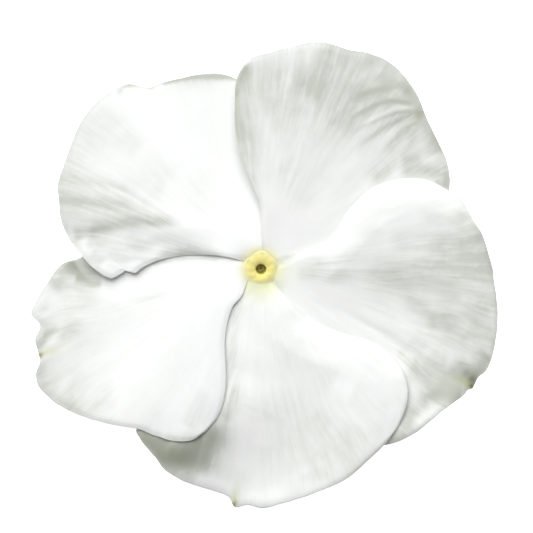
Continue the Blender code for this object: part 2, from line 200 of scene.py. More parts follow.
@dataclass
class Shell:
    """A mesh in the making.

    Attributes:
        points: its points, in millimetres, in the flower's own frame.
        faces: arrays of faces, each with one number of corners.
        traits: named values at the points, for the finishes to read.
    """

    points: Array
    faces: list[Array]
    traits: dict[str, Array] = field(default_factory=dict)

    def mesh(self, name: str) -> bpy.types.Mesh:
        """Make the Blender mesh where the flower lies.

        Args:
            name: the mesh's name.

        Returns:
            The mesh, with the traits as its attributes.
        """
        mesh = bpy.data.meshes.new(name)
        mesh.vertices.add(len(self.points))
        mesh.vertices.foreach_set("co", laid_down(self.points).astype(np.float32).ravel())
        corners = np.concatenate([face.ravel() for face in self.faces])
        counts = np.concatenate([np.full(len(face), face.shape[1]) for face in self.faces])
        mesh.loops.add(len(corners))
        mesh.loops.foreach_set("vertex_index", corners.astype(np.int32))
        mesh.polygons.add(len(counts))
        starts = np.concatenate([[0], np.cumsum(counts)[:-1]])
        mesh.polygons.foreach_set("loop_start", starts.astype(np.int32))
        mesh.update(calc_edges=True)
        mesh.validate()
        mesh.shade_smooth()
        for trait, values in self.traits.items():
            attribute = mesh.attributes.new(trait, "FLOAT", "POINT")
            attribute.data.foreach_set("value", np.asarray(values, np.float32).ravel())
        return mesh


def joined(shells: Sequence[Shell]) -> Shell:
    """Put shells together as one.

    Args:
        shells: the shells, all with the same traits.

    Returns:
        The one shell.
    """
    faces, count = [], 0
    for shell in shells:
        faces += [face + count for face in shell.faces]
        count += len(shell.points)
    points = np.vstack([shell.points for shell in shells])
    traits = {
        trait: np.concatenate([shell.traits[trait] for shell in shells])
        for trait in shells[0].traits
    }
    return Shell(points, faces, traits)


def grid_faces(rows: int, columns: int, offset: int = 0, wrap: bool = False) -> Array:
    """Give the four-cornered faces of a grid of points.

    Args:
        rows: rows of points.
        columns: points in a row.
        offset: number of the grid's first point.
        wrap: whether each row closes on itself.

    Returns:
        One row of four point numbers for each face.
    """
    j = np.arange(columns if wrap else columns - 1)
    i = np.arange(rows - 1)[:, None]
    a = i * columns + j
    b = i * columns + (j + 1) % columns
    return offset + np.stack([a, b, b + columns, a + columns], axis=-1).reshape(-1, 4)


class Ends(Enum):
    """How rows of points that each close on themselves end."""

    RING = "the last row joins the first"
    POLES = "each end closes on one more point, its pole"
    FLAT = "each end is one flat face"


def round_faces(rows: int, sides: int, ends: Ends) -> list[Array]:
    """Give the faces of a closed shell of rows that each close on themselves.

    Args:
        rows: rows of points, running down the outside.
        sides: points in a row.
        ends: how the shell ends. Its two poles, if any, are the last points.

    Returns:
        Arrays of faces, each with one number of corners.
    """
    k = np.arange(sides)
    m = (k + 1) % sides
    last = (rows - 1) * sides
    walls = grid_faces(rows, sides, wrap=True)[:, ::-1]
    if ends is Ends.RING:
        return [walls, np.stack([m + last, m, k, k + last], axis=-1)[:, ::-1]]
    if ends is Ends.FLAT:
        return [walls, k[None], (k[::-1] + last)[None]]
    pole = np.full(sides, rows * sides)
    return [
        walls,
        np.stack([pole, k, m], axis=-1),
        np.stack([pole + 1, m + last, k + last], axis=-1),
    ]


def turned(profile: Array, sides: int, ends: Ends, form: Form | None = None) -> Shell:
    """Turn a profile round the flower's axis into a closed shell.

    Args:
        profile: radius and height of each row, running down the outside.
        sides: points round each row.
        ends: how the shell ends.
        form: changes radius and height by the angle, where it is given.

    Returns:
        The shell, with the traits "turn" (angle over a full turn) and "run" (0 to 1 down it).
    """
    rows = len(profile)
    angle = np.linspace(0.0, FULL_TURN, sides, endpoint=False)[None, :]
    radius = np.repeat(profile[:, :1], sides, axis=1)
    height = np.repeat(profile[:, 1:], sides, axis=1)
    if form:
        radius, height = form(radius, height, angle + 0 * radius)
    points = np.concatenate([at_angle(radius, angle), height[..., None]], axis=-1).reshape(-1, 3)
    run = np.repeat(np.linspace(0, 1, rows), sides)
    turn = np.repeat(angle / FULL_TURN, rows, axis=0).ravel()
    if ends is Ends.POLES:
        poles = [[0.0, 0.0, height[0].mean()], [0.0, 0.0, height[-1].mean()]]
        points = np.vstack([points, poles])
        run, turn = np.append(run, [0.0, 1.0]), np.append(turn, [0.0, 0.0])
    return Shell(points, round_faces(rows, sides, ends), {"run": run, "turn": turn})


def finished(name: str, shell: Shell, material: bpy.types.Material,
             nodes: Sequence[str] = ()) -> bpy.types.Object:
    """Make a piece, put it in its place and tell the frame of it.

    Args:
        name: the piece's name.
        shell: its mesh in the making.
        material: its finish.
        nodes: the solids that it stands for.

    Returns:
        The piece.
    """
    mesh = shell.mesh(name)
    mesh.materials.append(material)
    piece = bpy.data.objects.new(name, mesh)
    bpy.context.scene.collection.objects.link(piece)
    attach(piece, "root")
    if nodes:
        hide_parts(*nodes)
    LOG.info("%s: %d points, %d faces, stands for %s", name, len(mesh.vertices),
             len(mesh.polygons), ", ".join(nodes) or "nothing")
    return piece


class Value:
    """A number that varies over a surface. Its operators add Math nodes."""

    def __init__(self, book: "Book", socket: bpy.types.NodeSocket) -> None:
        """Wrap a socket of the book's material."""
        self.book = book
        self.socket = socket

    def _math(self, operation: str, *terms: Any, clamp: bool = False) -> "Value":
        """Add one Math node.

        Args:
            operation: what it does.
            terms: the numbers and values that it works on.
            clamp: whether its result is held between 0 and 1.

        Returns:
            Its result.
        """
        settings = {"operation": operation, "use_clamp": clamp}
        node = self.book.node("ShaderNodeMath", settings, dict(enumerate(terms)))
        return Value(self.book, node.outputs[0])

    def __add__(self, other: Any) -> "Value":
        """Add a term."""
        return self._math("ADD", self, other)

    def __sub__(self, other: Any) -> "Value":
        """Take a term away."""
        return self._math("SUBTRACT", self, other)

    def __rsub__(self, other: Any) -> "Value":
        """Take this away from a term."""
        return self._math("SUBTRACT", other, self)

    def __mul__(self, other: Any) -> "Value":
        """Multiply by a term."""
        return self._math("MULTIPLY", self, other)

    __radd__ = __add__
    __rmul__ = __mul__

    def held(self) -> "Value":
        """Hold the number between 0 and 1."""
        return self._math("ADD", self, 0.0, clamp=True)

    def between(self, low: float, high: float) -> "Value":
        """Give 0 up to low, 1 from high on, and an even S between them."""
        node = self.book.node("ShaderNodeMapRange", {"interpolation_type": "SMOOTHSTEP"},
                              {"Value": self, "From Min": low, "From Max": high})
        return Value(self.book, node.outputs[0])


@dataclass(frozen=True)
class Grain:
    """The settings of soft noise.

    Attributes:
        scale: how many bumps there are to a unit.
        detail: how many finer layers it has.
        roughness: how strong those are.
    """

    scale: float
    detail: float = 2.0
    roughness: float = 0.5


@dataclass(frozen=True)
class Lanes:
    """Noise drawn out into streaks that run lengthwise.

    Attributes:
        across: streaks to a unit across.
        along: changes to a unit along.
        grain: the noise.
    """

    across: float
    along: float
    grain: Grain


@dataclass(frozen=True)
class Skin:
    """The shader's values that are the same all over a finish.

    Attributes:
        gloss: its specular level.
        through: the share of the light that goes in under the surface.
        spread: how far red, green and blue go there, next to each other.
        spread_mm: how far that is.
        sheen: the strength of its fine velvet sheen.
        sheen_roughness: how wide the sheen is.
    """

    gloss: float
    through: float
    spread: Colour
    spread_mm: float
    sheen: float = 0.0
    sheen_roughness: float = 0.5

    def inputs(self) -> dict[str, Any]:
        """Give the values by the names of the shader's inputs."""
        return {
            "Specular IOR Level": self.gloss, "Subsurface Weight": self.through,
            "Subsurface Radius": self.spread, "Subsurface Scale": self.spread_mm * MM,
            "Sheen Weight": self.sheen, "Sheen Roughness": self.sheen_roughness,
        }


class Book:
    """The nodes of one material."""

    def __init__(self, name: str) -> None:
        """Start a material with an empty node tree.

        Args:
            name: the material's name.
        """
        self.material = bpy.data.materials.new(name)
        self.material.use_nodes = True
        self.tree = self.material.node_tree
        self.tree.nodes.clear()

    def node(self, kind: str, settings: dict[str, Any] | None = None,
             inputs: dict[Any, Any] | None = None) -> bpy.types.Node:
        """Add a node.

        Args:
            kind: the node's type.
            settings: its own settings, set first.
            inputs: the values or links of its sockets, by name, identifier or number.

        Returns:
            The node.
        """
        node = self.tree.nodes.new(kind)
        for key, value in (settings or {}).items():
            setattr(node, key, value)
        for key, value in (inputs or {}).items():
            socket = self._socket(node, key)
            value = value.socket if isinstance(value, Value) else value
            if isinstance(value, bpy.types.NodeSocket):
                self.tree.links.new(value, socket)
            elif socket.type == "RGBA":
                socket.default_value = (*value, 1.0)
            else:
                socket.default_value = value
        return node

    @staticmethod
    def _socket(node: bpy.types.Node, key: Any) -> bpy.types.NodeSocket:
        """Find an input of a node.

        Args:
            node: the node.
            key: the input's number, identifier or name.

        Returns:
            The input.
        """
        if isinstance(key, int):
            return node.inputs[key]
        for socket in node.inputs:
            if socket.identifier == key:
                return socket
        return node.inputs[key]

    def trait(self, name: str) -> Value:
        """Read one of the mesh's named values."""
        node = self.node("ShaderNodeAttribute", {"attribute_name": name})
        return Value(self, node.outputs["Fac"])

    def place(self, scale: float = 1.0 / MM) -> bpy.types.NodeSocket:
        """Read the place on the piece.

        Args:
            scale: units to a metre, so that by default the place is in millimetres.

        Returns:
            The place.
        """
        coordinates = self.node("ShaderNodeTexCoord").outputs["Object"]
        node = self.node("ShaderNodeVectorMath", {"operation": "SCALE"},
                         {0: coordinates, "Scale": scale})
        return node.outputs[0]

    def noise(self, where: bpy.types.NodeSocket, grain: Grain) -> Value:
        """Read soft noise from 0 to 1 at a place."""
        node = self.node("ShaderNodeTexNoise", {}, {
            "Vector": where, "Scale": grain.scale, "Detail": grain.detail,
            "Roughness": grain.roughness,
        })
        return Value(self, node.outputs[0])

    def streaks(self, lanes: Lanes, across: Value, along: Value) -> Value:
        """Read streaks from 0 to 1, at a place across and along them."""
        where = self.node("ShaderNodeCombineXYZ", {},
                          {0: across * lanes.across, 1: along * lanes.along})
        return self.noise(where.outputs[0], lanes.grain)

    def mix(self, share: Any, first: Any, second: Any) -> bpy.types.NodeSocket:
        """Mix two colours, from the first at a share of 0 to the second at 1."""
        node = self.node("ShaderNodeMix", {"data_type": "RGBA", "clamp_factor": True},
                         {"Factor_Float": share, "A_Color": first, "B_Color": second})
        return next(output for output in node.outputs if output.identifier == "Result_Color")

    def bump(self, height: Value, strength: float, depth_mm: float) -> bpy.types.NodeSocket:
        """Turn a height into a bent normal, 0 and 1 as far apart as the depth."""
        node = self.node("ShaderNodeBump", {}, {
            "Height": height, "Strength": strength, "Distance": depth_mm * MM,
        })
        return node.outputs[0]

    def surface(self, fixed: dict[str, Any], varied: dict[str, Any]) -> bpy.types.Material:
        """Close the material with a Principled shader.

        Args:
            fixed: values that are the same all over.
            varied: links that change over the surface.

        Returns:
            The material.
        """
        shader = self.node("ShaderNodeBsdfPrincipled", {}, {**fixed, **varied})
        self.node("ShaderNodeOutputMaterial", {}, {"Surface": shader.outputs[0]})
        return self.material


@dataclass(frozen=True)
class PetalFinish:
    """A white petal: fine veins, greener and greyer where it is thin and where shade and shadow are
    painted in, a yellow glow round the eye, a small olive tip with a brown point, and the cells'
    fine grain.

    Attributes:
        white, thin_and_shade, shadow: its colour: plain, where it is thin and where shade is
            painted,
        and where the deepest shadow is painted.
        vein, glow, eye_green_and_shade: along its veins, next to the eye, and round that, where
            green
        of its own is darkened by shade painted below and right of the ring.
        tip, point: at its tip, and at the very point.
        broad, fine, cells, mottle: its broad and fine veins, cells and clouds.
        contrast: the part of the noise that veins and clouds are drawn from.
        broad_share: how much of the veins is the broad ones.
        vein_shares: how much the veins colour it, and how much more in full shade.
        shade_shares: how much the painted shade does, and how much more on veins and on clouds.
        shadow_from: the painted shade from which it turns to the painted shadow's colour.
        rim_share, point_share: how much shade is painted along the rim, and how much the very point
            is
        coloured.
        tip_shares: how much the tip is, and how much more on veins.
        relief_broad: how much of the veins' relief is the broad ones.
        relief_shares: how high the veins stand, and how much higher in full shade.
        relief_cells: how high the cells stand.
        relief: strength of the relief, and its depth in millimetres.
        roughness: its roughness, what the cells take from it, and what the veins add.
        skin: the rest of its shader.
    """

    white: Colour = (0.93, 0.94, 0.92)
    thin_and_shade: Colour = (0.558, 0.583, 0.540)
    dim: Colour = (0.24, 0.26, 0.19)
    vein: Colour = (0.80, 0.83, 0.77)
    glow: Colour = (0.90, 0.86, 0.50)
    eye_green_and_shade: Colour = (0.68, 0.71, 0.47)
    tip: Colour = (0.52, 0.52, 0.20)
    point: Colour = (0.16, 0.14, 0.08)
    broad: Lanes = Lanes(24.0, 0.15, Grain(1.0, 3.0, 0.6))
    fine: Lanes = Lanes(70.0, 0.35, Grain(1.0))
    cells: Grain = Grain(9.0, roughness=0.6)
    mottle: Grain = Grain(0.7, 3.0, 0.6)
    contrast: Range = (0.30, 0.70)
    broad_share: float = 0.65
    vein_shares: Pair = (0.06, 0.4)
    shade_shares: tuple[float, float, float] = (0.66, 0.50, 0.25)
    shadow_from: float = 0.95
    rim_share: float = 0.20
    tip_shares: Pair = (0.35, 0.4)
    point_share: float = 0.75
    relief_broad: float = 0.6
    relief_shares: Pair = (0.15, 0.45)
    relief_cells: float = 0.12
    relief: Pair = (0.5, 0.08)
    roughness: tuple[float, float, float] = (0.62, 0.10, 0.08)
    skin: Skin = Skin(0.28, 0.4, (0.9, 0.85, 0.7), 0.6, sheen=0.12)

    def material(self) -> bpy.types.Material:
        """Build the finish.

        Returns:
            The material. It reads the traits of a petal's blade.
        """
        book = Book("petal_white")
        across, along, shade = book.trait("lane"), book.trait("along"), book.trait("shade")
        broad, fine = (book.streaks(lanes, across, along) for lanes in (self.broad, self.fine))
        cells = book.noise(book.place(), self.cells)
        mottle = book.noise(book.place(), self.mottle).between(*self.contrast)
        streak = broad * self.broad_share + fine * (1.0 - self.broad_share)
        streak = streak.between(*self.contrast)
        everywhere, shaded = self.vein_shares
        colour = book.mix(streak * (everywhere + shade * shaded), self.white, self.vein)
        everywhere, veined, clouded = self.shade_shares
        depth = shade * (everywhere + veined * streak + clouded * mottle)
        # Shade painted into the colour, also standing for thinner tissue; its deepest part, on the
        # next line, is painted shadow.
        colour = book.mix(depth.held(), colour, self.thin_and_shade)
        colour = book.mix((shade - self.shadow_from).held(), colour, self.dim)
        # Shade painted along the rim.
        colour = book.mix(book.trait("rim") * self.rim_share, colour, self.thin_and_shade)
        colour = book.mix(book.trait("glow"), colour, self.glow)
        # Green round the eye, with shade painted below and right of the ring.
        colour = book.mix(book.trait("eye_green_and_shade"), colour, self.eye_green_and_shade)
        everywhere, veined = self.tip_shares
        colour = book.mix(book.trait("tint") * (everywhere + veined * streak), colour, self.tip)
        colour = book.mix(book.trait("spot") * self.point_share, colour, self.point)
        everywhere, shaded = self.relief_shares
        relief = broad * self.relief_broad + fine * (1.0 - self.relief_broad)
        relief = relief * (everywhere + shade * shaded) + cells * self.relief_cells
        rough, smoother, rougher = self.roughness
        return book.surface(self.skin.inputs(), {
            "Base Color": colour,
            "Roughness": rough - smoother * cells + rougher * streak,
            "Normal": book.bump(relief, *self.relief),
        })


@dataclass(frozen=True)
class EyeFinish:
    """The yellow ring: lemon inside the mouth, paler outside, olive shade painted in its five
    corners at the seams where the petals meet it, and darker shade painted down in the mouth.

    Attributes:
        lemon, pale, edge: its colour next to the mouth, further out, and along its outer edge.
        olive, throat: in its corners, and down in the mouth.
        mottle, grain: its clouds and its fine grain.
        olive, throat: shade painted in its corners, at the seams, and shade painted down in the
            mouth.
        pale_shares, olive_shares: how much it takes of them, and how much more on clouds.
        throat_from: between which depths it takes the throat's colour.
        relief_mottle: how much of the relief is clouds.
        relief: strength of the relief, and its depth in millimetres.
        roughness: its roughness, and what the grain adds.
        skin: the rest of its shader.
    """

    lemon: Colour = (0.82, 0.73, 0.26)
    pale: Colour = (0.83, 0.78, 0.38)
    edge: Colour = (0.88, 0.84, 0.49)
    olive: Colour = (0.62, 0.60, 0.26)
    throat: Colour = (0.30, 0.27, 0.04)
    mottle: Grain = Grain(3.2, 3.0, 0.6)
    grain: Grain = Grain(14.0)
    pale_from: Range = (0.25, 0.95)
    pale_shares: Pair = (0.6, 0.6)
    olive_shares: Pair = (0.5, 0.5)
    edge_from: Range = (0.80, 1.02)
    throat_from: Range = (0.05, 0.9)
    relief_mottle: float = 0.5
    relief: Pair = (0.6, 0.05)
    roughness: Pair = (0.62, 0.15)
    skin: Skin = Skin(0.2, 0.35, (0.9, 0.7, 0.2), 0.4)

    def material(self) -> bpy.types.Material:
        """Build the finish.

        Returns:
            The material. It reads the traits "outward", "corner" and "depth".
        """
        book = Book("eye_yellow")
        outward = book.trait("outward")
        mottle, grain = (book.noise(book.place(), kind) for kind in (self.mottle, self.grain))
        everywhere, mottled = self.pale_shares
        share = outward.between(*self.pale_from) * (everywhere + mottled * mottle)
        colour = book.mix(share, self.lemon, self.pale)
        everywhere, mottled = self.olive_shares
        share = book.trait("corner") * (everywhere + mottled * mottle)
        # Shade painted in the corners, at the seams where the petals meet the ring.
        colour = book.mix(share.held(), colour, self.olive)
        colour = book.mix(outward.between(*self.edge_from), colour, self.edge)
        # Shade painted down the mouth, darker the deeper it goes.
        colour = book.mix(book.trait("depth").between(*self.throat_from), colour, self.throat)
        relief = mottle * self.relief_mottle + grain * (1.0 - self.relief_mottle)
        rough, rougher = self.roughness
        return book.surface(self.skin.inputs(), {
            "Base Color": colour,
            "Roughness": rough + rougher * grain,
            "Normal": book.bump(relief, *self.relief),
        })


@dataclass(frozen=True)
class GreenFinish:
    """A living green skin: a paler and a deeper green in lengthwise streaks, and fine grain.

    Attributes:
        name: the material's name.
        pale, deep: its paler and its deeper colour.
        end, throat: its colours where the traits of those names are 1.
        lanes: streaks all round.
        roughness: its roughness.
        through, spread, spread_mm, gloss: as in Skin.
        run_rate: changes along the streaks from one end to the other.
        streak, grain: the noise of the streaks, and the fine grain.
        contrast: the part of the two that the greens are drawn from.
        deep_shares: how much streaks and grain each deepen the green.
        relief_streak: how much of the relief is streaks.
        relief: strength of the relief, and its depth in millimetres.
        rougher: what the grain adds to the roughness.
    """

    name: str
    pale: Colour
    deep: Colour
    end: Colour
    lanes: float
    roughness: float = 0.5
    through: float = 0.15
    throat: Colour = (0.50, 0.44, 0.07)
    run_rate: float = 3.0
    streak: Grain = Grain(1.0, 3.0, 0.6)
    grain: Grain = Grain(7.0, 3.0, 0.6)
    contrast: Range = (0.4, 0.8)
    deep_shares: Pair = (0.7, 0.5)
    relief_streak: float = 0.6
    relief: Pair = (0.5, 0.06)
    rougher: float = 0.12
    gloss: float = 0.35
    spread: Colour = (0.7, 0.9, 0.4)
    spread_mm: float = 0.3

    def material(self) -> bpy.types.Material:
        """Build the finish.

        Returns:
            The material. It reads the traits "turn", "run", "end" and "throat".
        """
        book = Book(self.name)
        lanes = Lanes(self.lanes, self.run_rate, self.streak)
        streak = book.streaks(lanes, book.trait("turn"), book.trait("run"))
        grain = book.noise(book.place(), self.grain)
        by_streak, by_grain = self.deep_shares
        share = (streak * by_streak + grain * by_grain).between(*self.contrast)
        colour = book.mix(share, self.pale, self.deep)
        colour = book.mix(book.trait("end"), colour, self.end)
        colour = book.mix(book.trait("throat"), colour, self.throat)
        relief = streak * self.relief_streak + grain * (1.0 - self.relief_streak)
        skin = Skin(self.gloss, self.through, self.spread, self.spread_mm)
        return book.surface(skin.inputs(), {
            "Base Color": colour,
            "Roughness": self.roughness + self.rougher * grain,
            "Normal": book.bump(relief, *self.relief),
        })


@dataclass(frozen=True)
class Fold:
    """A soft ridge right across a petal, or a crease where its height is below 0.

    Attributes:
        start: where it starts, right and up of the eye.
        end: where it ends.
        width: where it has fallen to about a third, on either side.
        height: its height along its middle.
        fade_in: between which shares of its length it rises.
        fade_out: between which it falls off.
    """

    start: Point
    end: Point
    width: float
    height: float
    fade_in: Range = (-0.05, 0.30)
    fade_out: Range = (0.80, 1.10)

    def felt(self, x: Array, y: Array) -> Array:
        """Give the fold's height at some places.

        Args:
            x: places to the right of the eye.
            y: places up from it.

        Returns:
            The height at each place.
        """
        start, end = np.array(self.start), np.array(self.end)
        length = np.hypot(*(end - start))
        along_x, along_y = (end - start) / length
        along = ((x - start[0]) * along_x + (y - start[1]) * along_y) / length
        aside = (x - start[0]) * -along_y + (y - start[1]) * along_x
        fade = smooth(*self.fade_in, along) * (1.0 - smooth(*self.fade_out, along))
        return self.height * fade * bell(aside, self.width)


@dataclass(frozen=True)
class Stroke:
    """A soft curved line over a petal: a finer fold of its surface, or shade painted into its
    colour (painted light where its amount is below 0).

    Attributes:
        path: points right and up of the eye.
        width: where it has faded to about a third, on the left side of its run.
        amount: its height, or how dark it is, along its middle.
        skew: how many times as wide it is on its right side.
        ends: the shares of its length over which it fades in and out.
        steps: straight steps between two points of its path.
    """

    path: tuple[Point, ...]
    width: float
    amount: float
    skew: float = 1.0
    ends: Pair = (0.3, 0.3)
    steps: int = 6

    def felt(self, x: Array, y: Array) -> Array:
        """Give the stroke's amount at some places.

        Args:
            x: places to the right of the eye.
            y: places up from it.

        Returns:
            The amount at each place.
        """
        line = smooth_line(self.path, self.steps)
        moves = np.diff(line, axis=0)
        lengths = np.hypot(moves[:, 0], moves[:, 1])
        reach = np.concatenate([[0.0], np.cumsum(lengths)])
        nearest = np.full(x.shape, np.inf)
        side, place = np.zeros(x.shape), np.zeros(x.shape)
        for (ax, ay), (dx, dy), length, start in zip(line, moves, lengths, reach):
            u = np.clip(((x - ax) * dx + (y - ay) * dy) / length**2, 0.0, 1.0)
            ox, oy = x - ax - u * dx, y - ay - u * dy
            apart = ox * ox + oy * oy
            closer = apart < nearest
            nearest = np.where(closer, apart, nearest)
            side = np.where(closer, dx * oy - dy * ox, side)
            place = np.where(closer, start + u * length, place)
        place /= reach[-1]
        width = np.where(side >= 0.0, self.width, self.width * self.skew)
        fade = np.ones(x.shape)
        fade_in, fade_out = self.ends
        if fade_in > 0:
            fade *= smooth(0.0, fade_in, place)
        if fade_out > 0:
            fade *= 1.0 - smooth(1.0 - fade_out, 1.0, place)
        return self.amount * fade * np.exp(-nearest / width**2)


@dataclass(frozen=True)
class Petal:
    """One petal.

    Attributes:
        name: its name, also that of the solid it stands for.
        edge: its upper edge, from the eye out, which lies over the next petal.
        rim: its rim on from there, clockwise.
        hidden_radius: where the rim ends, under the petal before.
        lift: height of its upper edge over the plane of the face.
        sink: depth of the side that lies under its neighbour.
        roll: how far its upper edge rolls back, over what width, and the radius it ends at.
        waves: number, height and phase of the rim's waves.
        tip: its small green tip.
        tint: how strongly the tip is coloured.
        eye_green_and_shade: how strong the green round the eye is, with shade painted below and
            right
        of the ring on the bottom and right petals.
        outer_shade: how much shade is painted on its outer part, also standing for thinner tissue.
        folds: its main folds, as on the solid.
        creases: finer folds.
        painted_shades: shade and shadow painted into its colour as greyer places, in part also
            standing
        for thinner tissue, and light painted in where the amount is below 0.
    """

    name: str
    edge: tuple[Point, ...]
    rim: tuple[Point, ...]
    hidden_radius: float
    lift: float
    sink: float
    roll: tuple[float, float, float]
    waves: tuple[float, float, float]
    tip: Point
    tint: float = 1.0
    eye_green_and_shade: float = 0.08
    outer_shade: float = 0.08
    folds: tuple[Fold, ...] = ()
    creases: tuple[Stroke, ...] = ()
    painted_shades: tuple[Stroke, ...] = ()

    def edge_angle(self, radius: Array) -> Array:
        """Give the angle of the upper edge at each radius."""
        radii, angles = polar(self.edge)
        return through(radii, angles, radius)


RIGHT = Petal(
    "petal_right",
    edge=((1.9, 0.5), (3.9, 1.5), (5.9, 2.3), (7.4, 3.6), (8.4, 5.3), (9.4, 6.5), (10.9, 7.9),
          (12.9, 8.7), (15.1, 9.0), (16.9, 8.7), (18.8, 7.7), (20.1, 6.8)),
    rim=((21.1, 5.0), (22.1, 3.4), (22.7, 1.6), (23.2, -0.4), (23.5, -2.7), (23.7, -5.2),
         (23.5, -7.2), (23.0, -9.4), (22.5, -10.3), (21.7, -11.0), (21.4, -11.7),
         (21.15, -12.1), (20.75, -12.2), (20.3, -12.7), (19.4, -13.4), (17.9, -14.5),
         (15.9, -16.2), (13.9, -17.3),
         (12.4, -17.7)),
    hidden_radius=20.6,
    lift=1.10,
    sink=0.47,
    roll=(0.90, 3.7, 24.0),
    waves=(3.0, 0.12, 0.4),
    tip=(21.1, -11.85),
    tint=1.25,
    eye_green_and_shade=0.6,
    outer_shade=0.23,
    folds=(
        Fold((3.5, -2.2), (20.5, -11.8), 1.1, -0.10),
        Fold((12.5, -18.0), (20.5, -13.2), 1.2, 0.40),
    ),
    creases=(
        Stroke(((4.9, -1.3), (8.9, -1.7), (13.9, -2.3), (18.9, -3.0),
               (23.5, -3.5)), 2.2, -0.2, 2.4, (0.35, 0)),
        Stroke(((6.9, -3.7), (8.9, -4.8), (11.9, -6.5), (16.9, -9.6),
               (20.7, -11.8)), 0.45, -0.08, 1, (0.3, 0.1)),
        Stroke(((19.7, -10.4), (21.7, -11.6)), 1.8, -0.3, 1, (0, 0)),
        Stroke(((11.7, -9.4), (13.3, -13.0), (13.7, -17.4)), 2.6, 0.77, 1, (0.25, 0)),
    ),
    # Shade and shadow painted into the colour, and painted light where the amount is below 0.
    painted_shades=(
        Stroke(((3.1, -0.5), (6.4, -0.7), (10.4, -0.8)), 0.9, 0.56, 1, (0.2, 0.4)),
        Stroke(((7.9, -0.9), (13.9, -0.7), (18.9, 0.0), (23.3, -0.2)), 1.7, 0.52, 1.2, (0.35, 0)),
        Stroke(((12.4, 2.5), (14.9, 2.7), (17.9, 2.4)), 0.9, 0.26),
        Stroke(((15.9, 2.2), (19.9, 2.3), (23.1, 1.4)), 1.4, 0.5, 1, (0.35, 0)),
        Stroke(((10.9, 3.9), (13.4, 4.7), (16.9, 5.4)), 0.8, -0.34),
        Stroke(((5.4, -3.0), (8.9, -4.4), (13.1, -5.8)), 1, -0.16),
        Stroke(((16.4, -8.4), (18.9, -9.6)), 0.9, 0.3),
        Stroke(((19.4, -6.2), (21.9, -6.9), (23.6, -7.7)), 1.2, 0.32, 1, (0.4, 0)),
        Stroke(((13.3, -8.2), (14.7, -9.2), (16.3, -9.6)), 0.9, 0.42),
        Stroke(((13.5, -2.7), (16.9, -4.5), (20.5, -6.2)), 0.9, 0.44, 1, (0.3, 0.2)),
        Stroke(((16.9, -2.8), (20.4, -4.0), (23.6, -5.0)), 2, 0.39, 1, (0.35, 0)),
        Stroke(((16.9, -7.4), (20.9, -7.2), (23.3, -7.4)), 1.4, 0.14, 1, (0.4, 0)),
        Stroke(((18.7, -9.4), (21.1, -10.4), (22.9, -8.4)), 1.1, 0.8, 1, (0.35, 0.1)),
        Stroke(((20.7, -10.9), (21.8, -11.7)), 0.6, 0.5, 1, (0.3, 0)),
        Stroke(((18.7, 5.8), (20.5, 5.0), (22.5, 2.8)), 1.2, 0.38, 1, (0.3, 0.1)),
        Stroke(((21.1, -3.2), (23.6, -3.8)), 1, 0.36, 1, (0.4, 0)),
        Stroke(((14.4, -5.2), (17.4, -6.8), (21.1, -6.8)), 1.2, 0.22, 1, (0.4, 0.2)),
        Stroke(((3.9, 0.7), (6.9, 0.7), (10.4, 1.9)), 0.6, 0.42),
        Stroke(((14.3, -9.6), (17.1, -10.7), (20.5, -12.0)), 1.1, 0.78, 1, (0.3, 0)),
        Stroke(((15.0, -12.4), (17.5, -12.8), (20.1, -13.1)), 1, 0.88, 1, (0.4, 0.05)),
        Stroke(((13.3, -17.3), (14.5, -15.9), (15.3, -13.8)), 0.7, 0.7, 1, (0, 0.2)),
        Stroke(((20.1, -10.3), (21.3, -11.2)), 0.6, 0.4, 1, (0.3, 0)),
        Stroke(((16.3, -5.4), (19.5, -6.4)), 0.7, 0.26),
        Stroke(((14.5, -7.0), (17.1, -8.3)), 0.7, 0.24),
        Stroke(((15.1, -14.8), (15.7, -14.0), (16.9, -13.4)), 0.8, 0.34, 1, (0.2, 0.2)),
    ),
)

